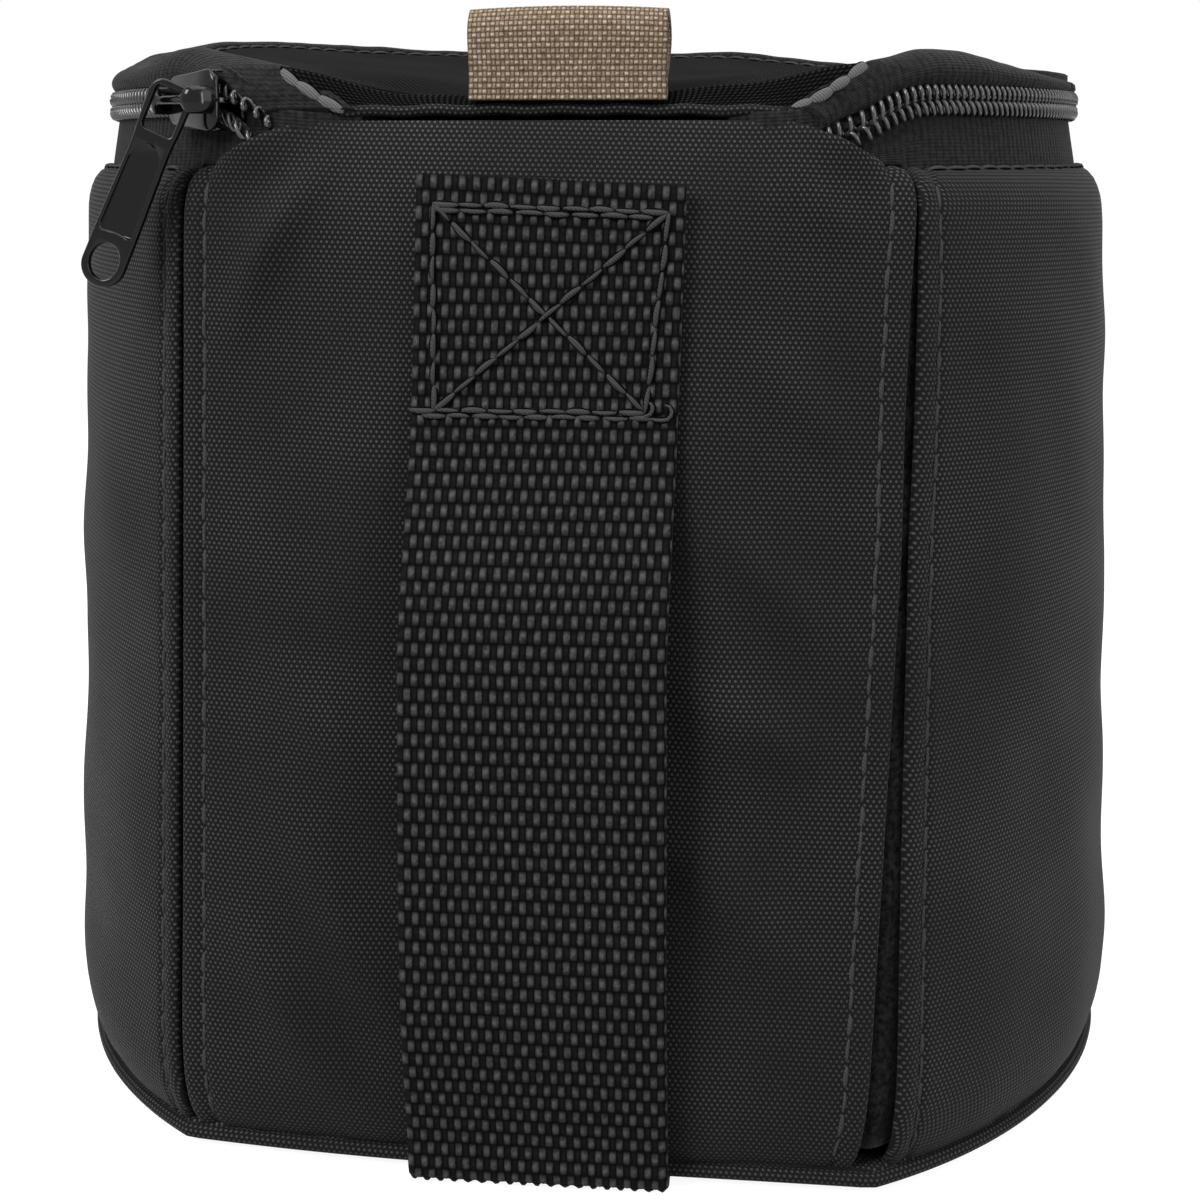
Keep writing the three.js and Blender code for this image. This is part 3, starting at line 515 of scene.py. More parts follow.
def lean_at(angle, z):
    """How far the right seam, and the wall near it, leans in towards the back's middle as it goes down."""
    fold = signed(angle)
    down = 1 - np.minimum(z / SHOULDER, 1)
    near = np.where(fold < SEAM, fold / SEAM, (LEAN_FADE - fold) / (LEAN_FADE - SEAM))
    return np.where((fold > 0) & (fold < LEAN_FADE), LEAN * down * near, 0)


def wall(angle, inset, z):
    """A point of the body's wall, a given depth inside its outer face."""
    angle, inset, z = np.broadcast_arrays(np.asarray(angle, float), inset, z)
    leant = angle - lean_at(angle, z)
    side = signed(leant)
    seam = np.where(side > 0, SEAM - lean_at(SEAM, z), SEAM)
    share = np.minimum(z / SHOULDER, 1)
    radius = lerp(BASE_RADIUS, TOP_RADIUS, share) - inset
    reach = lerp(BASE_REACH, TOP_REACH, share) - inset
    half_chord = radius * np.sin(np.radians(seam))
    bulge = reach - radius * np.cos(np.radians(seam))
    a = np.radians(np.clip(side, -seam, seam))
    curve = bulge * (np.sin(a) / half_chord) ** 2
    root = np.sqrt(np.maximum(np.cos(a) ** 2 + 4 * curve * reach, 1e-6))
    flat = 2 * reach / (np.cos(a) + root)
    return polar(np.where(np.abs(side) >= seam, radius, flat), leant, z)


def to_arc(length):
    return np.degrees(length / TOP_RADIUS)


EDGE_STEPS = np.array([0, 0.2, 0.5, 0.9, 1.4, 2.0, 2.5, 2.9, 3.3, 3.7, 4.1, 4.6, 5.3, 6.2])
FOLD_RADIUS = 1.3
PANEL_ROWS = 104
PANEL_THICK = 0.9


def columns(start, end, spacing):
    """Angles from start to end, close together near both sewn edges. start and end have one value per row."""
    start, end = start[:, None], end[:, None]
    near = to_arc(EDGE_STEPS)[None, :]
    middle = int(np.ceil((end - start).mean() / to_arc(spacing)))
    inner = lerp(start + near[:, -1:], end - near[:, -1:], np.linspace(0, 1, middle)[1:-1])
    angle = np.concatenate([start + near, inner, end - near[:, ::-1]], 1)
    return angle, np.minimum(angle - start, end - angle) * np.radians(1) * TOP_RADIUS


def sewn_edge(distance):
    """Extra depth of a turned and topstitched edge: it rolls in, and dips along its stitches."""
    roll = np.clip(1 - distance / FOLD_RADIUS, 0, 1)
    return FOLD_RADIUS * (1 - np.sqrt(1 - roll**2)) + 0.45 * bell(distance, STITCH_INSET, 0.62)


# Sections of the cloth as (inset, z): the wall up from the hem, then its top, which is higher at the flap
HEM = [(3.6, 2.9), (1.9, 5.4), (0.6, 10), (0, 16.5), (0, 40), (0, 90), (0, 125), (0, SHOULDER - 11)]
SHOULDER_LINE = [(0.02, SHOULDER - 8), (0.3, SHOULDER - 4), (1.46, SHOULDER - 1), (3.2, SHOULDER + 0.4),
                 (4.6, SHOULDER + 0.7)]
FLAP_LINE = [(0.02, SHOULDER - 8), (0.4, SHOULDER - 3.2), (1.3, SHOULDER + 0.57), (2.4, SHOULDER + 3.9),
             (3.7, SHOULDER + 7.1)]

# Soft folds of the back: the ends in (x, z) on a wall of the given height, then half the width, and the rise
FOLDS_HEIGHT = 143.0
BACK_FOLDS = [
    ((-40, 60), (-22, 22), 5, 1.98), ((-44, 84), (-24, 52), 4, 1.32), ((-47, 40), (-30, 10), 4, 1.54),
    ((-36, 140), (-46, 118), 3.5, 1.54), ((-30, 146), (-42, 128), 2.6, 1.1), ((24, 96), (42, 78), 4, 1.32),
    ((23, 72), (40, 62), 4.5, 1.76), ((22, 50), (38, 30), 5, 1.54), ((30, 120), (44, 104), 3.5, 0.99),
    ((-24, 120), (-26, 60), 6, 1.1), ((24, 128), (26, 40), 6, 1.1), ((34, 146), (44, 132), 3, 1.1),
]


def folds(points, creases):
    """Soft raised folds along segments."""
    total = np.zeros(points.shape[:-1])
    xz = points[..., [0, 2]] * [1, FOLDS_HEIGHT / SHOULDER]
    for a, b, width, rise in creases:
        run = np.subtract(b, a)
        t = np.clip(((xz - a) @ run) / (run @ run), 0, 1)
        away = np.linalg.norm(xz - (a + t[..., None] * run), axis=-1)
        total += rise * bell(away, 0, width) * np.sin(np.pi * np.clip(t * 0.9 + 0.05, 0, 1))
    return total


def level_uv(p):
    """Millimetre lengths up each column and out from the middle column, so that the weave stays level."""
    u, v = distances(p, 1), distances(p)
    u = u - u[:, u.shape[1] // 2, None]
    return stacked(u - 0.01 * v, v + 0.02 * u)


def body_cloth(name, start, end, top, replaced, creases, spacing, seed, puff):
    """A panel of outer cloth between two seams, and its two stitch rows. top is 1 where it has the flap."""
    low, high = (curve_through([*HEM, *line], PANEL_ROWS) for line in (SHOULDER_LINE, FLAP_LINE))
    z_mid = low[:, 1]
    angle, edge = columns(start(z_mid), end(z_mid), spacing)
    fade = top(folded(angle))
    corner = bell(folded(angle), 32, 4.5) * smooth(z_mid, SHOULDER - 8, SHOULDER)[:, None]
    z = lerp(low[:, 1:], high[:, 1:], fade)
    base = wall(angle, lerp(low[:, :1], high[:, :1], fade) * (1 - 1.15 * corner), z)

    slant = base @ np.array([[0.55, 0.2, -0.55], [0.1, 0.6, 0.1], [1.0, 0.2, 1.0]]).T
    swell = puff * (0.35 + 0.65 * noise(base, 46, seed))
    swell += 0.65 * noise(slant, 15, seed + 5) + 0.32 * noise(base, 17, seed + 1)
    swell *= smooth(edge, 0, 14) * smooth(z, 6, 26) * smooth(SHOULDER + 2 - z, 0, 14)
    swell += folds(base, creases) * smooth(edge, 1, 9)
    pucker = 0.10 * np.sin(2 * np.pi * z / STITCH_PITCH) * bell(edge, STITCH_INSET, 2.2)
    gather = 0.22 * smooth(edge, 2, 7) * smooth(22 - z, 0, 16) * noise(base * [1, 1, 0.25], 7, seed + 2)
    p = raised(base, swell + pucker + gather - sewn_edge(edge))
    cloth(name, p, PANEL_THICK, NYLON, replaced, uv=level_uv(base))

    normals = grid_normals(p)
    middle = edge[len(edge) // 2]
    first = np.abs(middle[:len(middle) // 2] - STITCH_INSET).argmin()
    rows = [(p[2:-3, column], normals[2:-3, column], STITCH_PITCH, 0.72, 0.1, 0.9, column)
            for column in (first, len(middle) - 1 - first)]
    return p, normals, rows


def left_gap(z):
    """Half the left seam's opening, as an angle."""
    return to_arc(0.5 + 0 * z)


def right_gap(z):
    """Half the right seam's opening: nearly shut at the top, wide at the foot."""
    return to_arc(np.interp(z, [8, 44, 94, 112, 130, SHOULDER], [2.5, 1.75, 0.8, 1.0, 0.8, 0.2]))


def body():
    """The back and the wrap, their topstitching, and a row of thread round the wrap's shoulder."""
    _, _, back_rows = body_cloth(
        "back_cloth", lambda z: left_gap(z) - SEAM, lambda z: SEAM - right_gap(z),
        lambda fold: 1 - smooth(fold, 26, 38), ("back_panel", "back_foam"), BACK_FOLDS,
        spacing=1.5, seed=3, puff=0.7)
    p, normals, wrap_rows = body_cloth(
        "wrap_cloth", lambda z: SEAM + right_gap(z), lambda z: 360 - SEAM - left_gap(z),
        lambda fold: 0 * fold, ("wrap_panel", "wrap_foam"), [], spacing=1.9, seed=8, puff=0.8)
    stitches("stitch_back_panel", back_rows, THREAD)
    row = np.abs(p[:, p.shape[1] // 2, 2] - SHOULDER - 0.45).argmin()
    shoulder = (p[row, 9:-9], normals[row, 9:-9], STITCH_PITCH, 0.7, 0.15, 1.0)
    stitches("stitch_wrap_panel", [*wrap_rows, shoulder], THREAD)


body()


def seam_lining(name, centre, replaced):
    """The lining that shows where a seam gapes."""
    z = np.linspace(6.6, SHOULDER - 2.5, 60)[:, None]
    inset = 2.1 + 1.6 * bell(z, 6, 8) + smooth(z, SHOULDER - 9, SHOULDER - 1) * 1.6
    p = wall(centre + to_arc(np.linspace(-4.4, 4.4, 19)), inset, z)
    cloth(name, raised(p, 0.35 * noise(p, 5, 31)), 0.7, LINING, replaced)


seam_lining("left_seam_lining", -SEAM, ("left_seam_tape",))
seam_lining("right_seam_lining", SEAM, ("right_seam_tape",))


# Base and inside

ROUND = np.linspace(0, 360, 288, endpoint=False)[:, None]


def ring(name, inset, z, look, replaced, uv=None):
    """A closed ring of the body's section from a closed profile."""
    loops = wall(ROUND, inset, z)
    if uv is None:
        uv = stacked(distances(loops[:, 0])[:, None], distances(loops[0]))
    faces = quads(*loops.shape[:2], wrap_rows=True, wrap_cols=True, flip=True)
    make(name, loops, faces, look, replaced, uv=uv)


def disc(name, profile, look, replaced):
    """A closed sheet over the body's section. The profile of (inset, z) runs from below to above."""
    rim = wall(ROUND, *np.transpose(profile))
    shares = np.linspace(1, 0, 20)[1:, None]
    under, over = (end * [1, 1, 0] * shares + end * [0, 0, 1] for end in (rim[:, :1], rim[:, -1:]))
    loops = np.concatenate([under[:, ::-1], rim, over], 1)
    make(name, loops, quads(*loops.shape[:2], wrap_rows=True, flip=True), look, replaced, uv=loops[..., :2])


def sleeve():
    z = np.linspace(9.2, SHOULDER - 2.4, 50)[:, None]
    p = wall(np.linspace(360, 0, 241), 8.0, z)
    loose = smooth(z, 9, 16) * smooth(SHOULDER - 2 - z, 0, 6)
    push = (0.28 * noise(p, 21, 41) + 0.14 * noise(p, 6, 43)) * loose
    cloth("lining_sleeve", raised(p, push), 0.5, LINING, ("lining_wall",), wrap=True)


def mouth():
    """The binding, which is thinner at the back's flap."""
    turn = turns(12)
    outer = lerp(7.6, 6.7, smooth(folded(ROUND), 29.5, SEAM))
    inset = (outer + 9.2) / 2 + (9.2 - outer) / 2 * np.cos(turn)
    ring("mouth_binding_cloth", inset, SHOULDER - 1.05 + 1.3 * np.sin(turn), NYLON, ("mouth_binding",),
         stacked(np.radians(ROUND) * 80, turn * 1.3))


def piping():
    turn = turns(14)
    ring("base_piping", 2.9 + 1.1 * np.cos(turn), 2.2 + 1.1 * np.sin(turn), NYLON, ("base_welt",))


piping()
disc("base_cloth", [(9.5, 0), (8.6, 0.3), (7.6, 1), (6.3, 2), (5, 2.45), (3.3, 2.7), (3.1, 3.2), (3.4, 3.7),
                    (5, 3.9), (7, 3.8), (9, 3.4)], NYLON, ("base_panel", "base_foam", "base_board"))
sleeve()
disc("floor_lining", [(7.8, 8.25), (7.6, 8.5), (7.8, 8.85)], LINING, ("lining_floor",))
mouth()


# Zip

COIL_PITCH = 1.4
COIL_WIRE = 0.34
COIL_STEPS, COIL_SIDES = 12, 6
COIL_RADIUS = 81.1
CHAIN_DIP = 7
PARTING, PARTING_KEPT = 0.95, 0.4


def chain_height(angle):
    """The chain's centre line: level round the body, falling to its ends behind the flap's corners."""
    fold = signed(angle)
    level = np.where(fold > 0, smooth(fold, 28, 46), smooth(-fold, 28, 38))
    return CHAIN - CHAIN_DIP * (1 - level) ** 2


def tuck(angle):
    """How far the chain's ends sink in behind the flap's corners."""
    fold = signed(angle)
    return 0.7 + np.where(fold > 0, 2.4 * (1 - smooth(fold, 31, 35)), 2.5 * (1 - smooth(-fold, 30, 33.2)))


def row_half_gap(angle):
    """Half the gap between the two coil rows: they part in the slider, and stay a little apart beyond it."""
    fold = signed(angle)
    along = np.radians(fold - SLIDER_ANGLE) * TAPE_RADIUS
    in_slider = PARTING * smooth(along, -SLIDER_HALF / 2, SLIDER_HALF - 2.7)
    beyond = PARTING_KEPT * smooth(fold, SLIDER_ANGLE + np.degrees(SLIDER_HALF / TAPE_RADIUS), -31)
    near = (folded(fold - SLIDER_ANGLE) < 30) & (fold < 0)
    return np.where(near, np.maximum(in_slider + beyond, 0), 0)


def tape(name, side, foot, replaced, body):
    """Half the zip tape, from the coils to its foot. side is -1 for the lower half, 1 for the upper."""
    angle = np.linspace(ZIP_END, 360 - ZIP_END, 420)
    near = chain_height(angle) + side * (row_half_gap(angle) + 0.4)
    t = np.linspace(0, 1, 14)[:, None]
    z = lerp(near, foot(angle), t if side > 0 else 1 - t)
    cone = 0.16 * (z - near) if side < 0 else 0
    p = polar(TAPE_RADIUS - tuck(angle) - cone, angle, z)[:, ::-1]
    return cloth(name, raised(p, 0.08 * noise(p, 4, 51) + 0.1 * noise(p, 19, 52)), 0.5, TAPE, replaced, body)


def coil(name, side, replaced, body):
    """One coil row: a flattened helix whose heads reach just past the chain's centre line."""
    count = int(np.radians(360 - 2 * ZIP_END) * TAPE_RADIUS / COIL_PITCH)
    steps = count * COIL_STEPS + 1
    phase = np.linspace(0, count * 2 * np.pi, steps) + (np.pi if side > 0 else 0)
    angle = np.linspace(ZIP_END + 0.4, 360 - ZIP_END - 0.4, steps)
    half = (CHAIN_HALF + 0.35) / 2 - COIL_WIRE
    middle = CHAIN_HALF - COIL_WIRE - half
    z = chain_height(angle) + side * (row_half_gap(angle) + middle - half * np.cos(phase))
    bulge = 0.62 + 0.16 * (1 + np.cos(phase)) / 2
    skew = np.degrees(0.32 * np.cos(phase) / TAPE_RADIUS) * side
    path = polar(COIL_RADIUS - tuck(angle) + bulge * np.sin(phase), angle + skew, z)
    tangent = unit(np.gradient(path, axis=0))
    out = unit(np.cross(tangent, [0.31, 0.17, 0.93]))
    turn = turns(COIL_SIDES)[:, None]
    wire = (out[:, None] * np.cos(turn) + np.cross(tangent, out)[:, None] * np.sin(turn)) * COIL_WIRE
    return make(name, path[:, None] + wire, tube_faces(steps, COIL_SIDES, flip=True), COIL, replaced, body)


def follow_lid(obj):
    """The upper half of the zip runs on past the hinge. Its transform is baked into its mesh, and it rides no
    body.
    """
    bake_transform(obj)


tape("zip_tape_lower_cloth", -1, lambda angle: SHOULDER + np.where(folded(angle) > SEAM, -0.8, 0.8),
     ("zip_tape_lower",), "pouch_body")
follow_lid(tape("zip_tape_upper_cloth", 1, lambda angle: chain_height(angle) + 5.0,
                ("zip_tape_upper",), None))
coil("coil_row_lower", -1, ("zip_coil_lower",), "pouch_body")
follow_lid(coil("coil_row_upper", 1, ("zip_coil_upper",), None))


# Slider and pull

BRIDGE_STEPS = 56
BACK_PLATE = (77.4, 78.5)
RIM_SOFTNESS = 0.28


def rounded_outline(corners, radius, steps=5):
    """A closed outline with its corners rounded off."""
    corners = [np.asarray(c, float) for c in corners]
    out = []
    for i, c in enumerate(corners):
        a, b = corners[i - 1] - c, corners[(i + 1) % len(corners)] - c
        r = min(radius, np.linalg.norm(a) * 0.48, np.linalg.norm(b) * 0.48)
        start, end = c + a / np.linalg.norm(a) * r, c + b / np.linalg.norm(b) * r
        for t in np.linspace(0, 1, steps):
            out.append((1 - t) ** 2 * start + 2 * t * (1 - t) * c + t**2 * end)
    return np.array(out)


def tube(loops):
    return loops.reshape(-1, 3), tube_faces(*loops.shape[:2])


def plate(outline, near, far):
    """A plate drawn in (x, z) about the chain and pushed out along -Y, with softened rims."""
    middle = outline.mean(0)
    slices = []
    soft = min(RIM_SOFTNESS, (far - near) * 0.3)
    for distance, shrink in ((near, soft), (near + soft, 0), (far - soft, 0), (far, soft)):
        x, z = (middle + (outline - middle) * (1 - shrink / np.abs(outline - middle).max())).T
        slices.append(stacked(x, -distance, z + CHAIN))
    return tube(np.array(slices))


def bridge():
    """The arch over the front plate: broad feet, and a thin bar between them for the pull."""
    half = np.array([(-5.0, -0.5), (-5.05, 1.2), (-4.6, 2.6), (-3.6, 3.42), (-1.6, 3.54)])
    arch = np.vstack([half, [(0, 3.5)], half[::-1] * [-1, 1]])
    x, out = curve_through(arch + [0, COIL_FACE + PLATE], BRIDGE_STEPS).T
    path = stacked(x, -out, CHAIN)
    up = np.array([0, 0, 1.0])
    outward = np.cross(unit(np.gradient(path, axis=0)), up)
    bar = smooth(4.0 - np.abs(x), 0, 1.3)[:, None]
    turn = turns(12)
    ring = up * (np.cos(turn) * lerp(1.95, 0.62, bar))[..., None]
    ring = ring + outward[:, None] * (np.sin(turn) * lerp(0.72, 0.5, bar))[..., None]
    return tube((path[:, None] + ring)[:, ::-1])


def slider():
    """Front and back plate, flanges, neck and bridge, drawn at the belt side and turned to their place."""
    half = [(-5.7, 2.3), (-4.7, 3.5), (0.6, 4.0), (4.1, 4.5), (5.7, 3.2)]
    shield = rounded_outline([*half, *((x, -z) for x, z in half[::-1])], 1.4)
    flange = np.array([(-4.9, 3.1), (2.8, 4.0), (4.9, 3.9), (4.9, 4.3), (2.8, 4.35), (-4.9, 3.5)])
    neck = [(3.0, -0.2), (5.0, -0.42), (5.0, 0.42), (3.0, 0.2)]
    parts = [plate(shield, COIL_FACE, COIL_FACE + PLATE), plate(shield * 0.92, *BACK_PLATE)]
    for side in (1, -1):
        parts.append(plate(rounded_outline(flange * [1, side], 0.2, 3), COIL_FACE - 1.3, COIL_FACE + 0.5))
    parts += [plate(rounded_outline(neck, 0.15, 3), BACK_PLATE[1] - 0.5, COIL_FACE + 0.5), bridge()]
    points, faces = joined(parts)
    a = math.radians(SLIDER_ANGLE)
    turn = np.array([[math.cos(a), -math.sin(a), 0], [math.sin(a), math.cos(a), 0], [0, 0, 1]])
    make("slider_casting", points @ turn.T, faces, ENAMEL, ("slider_body",), "slider")


slider()

PULL_HALF = 0.68
PULL_BEVEL = 0.3
PULL_SLANT = math.radians(24)
PULL_TIP, PULL_TIP_RADIUS = -25.55, 3.25
PANEL_CUT, PANEL_DEPTH = 0.5, 0.3


def evaluated(obj):
    """A new mesh of an object as its modifiers leave it."""
    bpy.context.view_layer.update()
    return bpy.data.meshes.new_from_object(obj.evaluated_get(bpy.context.evaluated_depsgraph_get()))


def flat_mesh(name, loops, half_depth, bevel):
    """The mesh of a flat outline with holes, pushed out to both sides."""
    curve = bpy.data.curves.new(name, "CURVE")
    curve.dimensions, curve.fill_mode = "2D", "BOTH"
    for loop in loops:
        spline = curve.splines.new("POLY")
        spline.points.add(len(loop) - 1)
        for target, (x, y) in zip(spline.points, loop):
            target.co = (x * MM, y * MM, 0, 1)
        spline.use_cyclic_u = True
    curve.extrude = (half_depth - bevel) * MM
    curve.bevel_depth, curve.bevel_resolution, curve.offset = bevel * MM, 3, -bevel * MM
    obj = link(name, curve)
    mesh = evaluated(obj)
    bpy.data.objects.remove(obj)
    return mesh


def pull_blade():
    """The slanting pull: a slot round the bridge, a sunken panel on both faces and an eye at the tip."""
    edge = [(1.2, 2.6), (2.5, 2.2), (3.15, 1), (3.2, -1.5), (3.1, -4), (2.92, -7), (3, -12), (3.2, -20)]
    right = curve_through([*edge, (PULL_TIP_RADIUS, PULL_TIP)], 60)
    arc = np.radians(np.linspace(0, 180, 31))[1:-1]
    tip = stacked(PULL_TIP_RADIUS * np.cos(arc), PULL_TIP - PULL_TIP_RADIUS * np.sin(arc))
    slot = rounded_outline([(-2.4, -5.0), (2.4, -5.0), (2.4, 1.6), (-2.4, 1.6)], 0.9, 7)
    eye = stacked(2.2 * np.cos(turns(40)), -25.0 + 2.7 * np.sin(turns(40)))
    panel = [(-2.15, -8.2), (0, -6.2), (2.15, -8.2), (2.45, -21.2), (0, -20.4), (-2.45, -21.2)]
    outline = np.vstack([right, tip, right[::-1] * [-1, 1]])
    obj = link("pull_blade", flat_mesh("pull_outline", (outline, slot, eye), PULL_HALF, PULL_BEVEL))
    cut_mesh = flat_mesh("pull_panel", (rounded_outline(panel, 1.3, 7),), PANEL_CUT, 0.0)
    for side in (1, -1):
        tool = link("panel_tool", cut_mesh)
        tool.location.z = side * (PULL_HALF + PANEL_CUT - PANEL_DEPTH) * MM
        cut = obj.modifiers.new("cut", "BOOLEAN")
        cut.operation, cut.object, cut.solver = "DIFFERENCE", tool, "EXACT"
        result = evaluated(obj)
        obj.modifiers.clear()
        obj.data = result
        bpy.data.objects.remove(tool)
    data = obj.data
    data.materials.clear()
    data.materials.append(ENAMEL[0])
    co = np.empty(len(data.vertices) * 3)
    data.vertices.foreach_get("co", co)
    u, w, depth = co.reshape(-1, 3).T
    sin, cos = math.sin(PULL_SLANT), math.cos(PULL_SLANT)
    co = stacked(u * cos + w * sin, -depth, w * cos - u * sin) + polar(BRIDGE_AXIS, SLIDER_ANGLE, CHAIN) * MM
    data.vertices.foreach_set("co", co.ravel())
    data.shade_smooth()
    data.update()
    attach(obj, "pull")
    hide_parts("pull_tab")
    obj.modifiers.new("normals", "WEIGHTED_NORMAL").keep_sharp = True


pull_blade()


# Lid

LID_RADIUS, LID_REACH = 80.9, 62.0
BAND_TOP = LID_RADIUS - 5
LID_MIDDLE = CHAIN + 4.6

# The lid's rim above the chain, at angles from -180: high at the far side, low and wavy over the hinge
RIM = [(-180, 12.6), (-152, 12.6), (-139, 12.8), (-118, 13.2), (-107, 12.3), (-95, 10), (-80, 7), (-70, 5.6),
       (-58, 5), (-50, 6), (-44, 7.6), (-38, 6.9), (-30, 4.4), (-24, 2.2), (-18, 0.8), (-11, 0.3), (0, 0.6),
       (17, 1.1), (25.5, 2.3), (33, 4.1), (40, 5.9), (45, 6.6), (52, 6.2), (58, 4.9), (66, 3.9), (74, 3.5),
       (90, 3.5), (110, 4.6), (130, 7.0), (142, 9), (163, 12.3)]

# Foot and head of the two seams where the rear strip meets the band: left, then right
WEDGES = np.array([[(-28.5, HINGE_Y - 0.1, CHAIN - 1.6), (-38.0, -64.6, CHAIN + 4.2)],
                   [(34.5, HINGE_Y - 0.1, CHAIN - 1.8), (45.0, -64.6, CHAIN + 4.6)]])
WEDGE_HEAD, BAND_START = 36.0, 43.0


def rim_height(angle):
    at, rise = np.array(RIM, float).T
    near = [np.interp(signed(angle + step), at, rise, period=360) for step in (-3, -1.5, 0, 1.5, 3)]
    return CHAIN + np.mean(near, axis=0)


def lid_edge(angle, inset):
    """The radius of the lid's rim: a circle with its rear side cut straight."""
    across = np.maximum(np.cos(np.radians(folded(angle))), 1e-3)
    radius = LID_RADIUS - inset
    return np.where(across > LID_REACH / radius, LID_REACH / across, radius)


def lid_sheet(name, inset, drop, thickness, look, replaced, seed, wrinkle):
    """The sunken top, or its lining: it rises from the middle to the wavy rim."""
    share = np.linspace(0.004, 1, 60)[:, None]
    angle = np.linspace(0, 360, 361)[None, :]
    p = polar(lid_edge(angle, inset) * share, angle, lerp(LID_MIDDLE, rim_height(angle), share**2) - drop)
    ripple = wrinkle * (noise(p, 24, seed) + 0.4 * noise(p, 9, seed + 1)) * smooth(1 - share, 0, 0.12)
    rear = 1.1 * bell(p[..., 1], -52, 9) * noise(p * [1, 0.2, 1], 13, seed + 2)
    p[..., 2] += ripple + rear * smooth(1 - share, 0, 0.1)
    p = p[:, ::-1]
    return cloth(name, p, thickness, look, replaced, "lid", p[..., :2], wrap=True), p


def corner_lining():
    """Tape ends folded down inside the zip's two corners, behind the flap."""
    parts, uv = [], []
    for side in (-1, 1):
        route = curve_through(np.array([(26, -66.2), (32, -67.2), (38, -67.6), (43, -65.4)]) * [side, 1], 24)
        head = CHAIN - np.interp(np.abs(route[:, 0]), [26, 34, 38, 43], [1.9, 1.6, 1.2, 1])
        z = lerp(SHOULDER - 3.0, head, np.linspace(0, 1, 14)[:, None])
        p = stacked(route[:, 0], route[:, 1] + 0.5 * (z - SHOULDER) / 9, z)
        p[..., 1] += 0.3 * noise(p, 3.5, 55)
        parts.append((p.reshape(-1, 3), quads(14, 24)))
        uv.append(grid_uv(p))
    thick = make("corner_tape_ends", *joined(parts), TAPE, uv=uv).modifiers.new("thickness", "SOLIDIFY")
    thick.thickness, thick.offset = 0.4 * MM, 0


def lid_rim():
    """The lid's side band, from the zip tape over a soft dome to the rim. It meets the strip at its ends."""
    angle = np.linspace(360 - ZIP_END, ZIP_END, 440)
    fold = folded(angle)
    foot = polar(LID_RADIUS - 0.7 - tuck(angle), angle, chain_height(angle) + row_half_gap(angle) + 2.7)
    top = polar(BAND_TOP, angle, rim_height(angle))
    for side, (low, high) in zip((-1, 1), WEDGES):
        end = polar(BAND_TOP, side * BAND_START, rim_height(side * BAND_START))
        path = sampled(fold, [ZIP_END, WEDGE_HEAD, BAND_START], [low, high, end])
        here = (signed(angle) * side > 0) & (fold < BAND_START)
        top = np.where(here[:, None], path, top)
    dome = [(0.0, 0.0), (-0.14, 0.1), (-0.2, 0.34), (-0.02, 0.66), (0.38, 0.92), (1.0, 1.0), (1.2, 0.94)]
    p = lerp(foot, top, curve_through(dome, 30)[:, None, [0, 0, 1]])
    p = raised(p, 0.3 * noise(p, 11, 81) + 0.12 * noise(p, 4, 82))
    cloth("lid_rim_cloth", p, 0.7, TAPE, ("lid_band",), "lid")


def lid_threads(p):
    """The thread round the far rim, and the pale thread up the two wedge seams."""
    far = slice(55, 306)
    lines = [(p[-3, ::-1][far], grid_normals(p)[-3, ::-1][far], 4.0, 0.9, 0.2)]
    for low, high in WEDGES:
        t = np.linspace(0, 1, 30)[:, None]
        side = np.sign(low[0])
        seam = lerp(low, high, t) + [0, -0.5, 0] + np.sin(t * np.pi) * [side * 0.6, -0.5, 0]
        lines.append((seam, np.tile([side * 0.35, -0.9, 0.2], (30, 1)), 3.4, 1.6, 0.1, 1.12, 0, 0.95))
    stitches("stitch_lid_rim", lines, THREAD, "lid")


def lid_strip():
    """The rear strip: cloth from the hinge fold up to the lid's wavy rear edge, between the wedge seams."""
    section = [(0.0, 0.0), (0.28, 0.3), (0.6, 0.7), (0.95, 0.96), (1.6, 1.06), (2.6, 1.0), (3.8, 0.9)]
    inward, up = curve_through(section, 26).T[..., None]
    left, right = (lerp(low, high, np.clip(up, 0, 1)[..., None]) for low, high in WEDGES)
    p = lerp(left, right, np.linspace(0, 1, 121)[:, None])
    x = p[..., 0]
    top = rim_height(np.degrees(np.arctan2(x, 63.5))) + 0.2 * np.sin(x * 0.35)
    p[..., 2] = lerp(CHAIN - 1.7, top, up)
    p[..., 1] = HINGE_Y + inward + 0.35 * noise(p, 8, 91) * smooth(up, 0, 0.4)
    cloth("lid_strip_cloth", p, 0.6, LID_NYLON_PAINTED_DARKER, ("lid_rear_strip",), "lid")


def hinge():
    """The cloth hinge: a short roll of cloth between the back flap and the lid's rear strip."""
    x = np.linspace(-31.5, 36, 110)
    turn = np.radians(np.linspace(-150, 100, 22))[:, None]
    z = HINGE_Z - 0.3 * (x / 34) ** 2 + 0.8 * np.sin(turn) + 0.12 * np.sin(x * 0.7)
    p = stacked(x, HINGE_Y + 0.4 - 0.8 * np.cos(turn), z)
    obj = cloth("hinge_cloth", p, 0.5, NYLON, ("hinge_fold",), None)
    y, z = HINGE_Y * MM, HINGE_Z * MM
    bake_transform(obj)


LOOP_FRONT, LOOP_MIDDLE, LOOP_HALF = -67.25, 3.5, 14


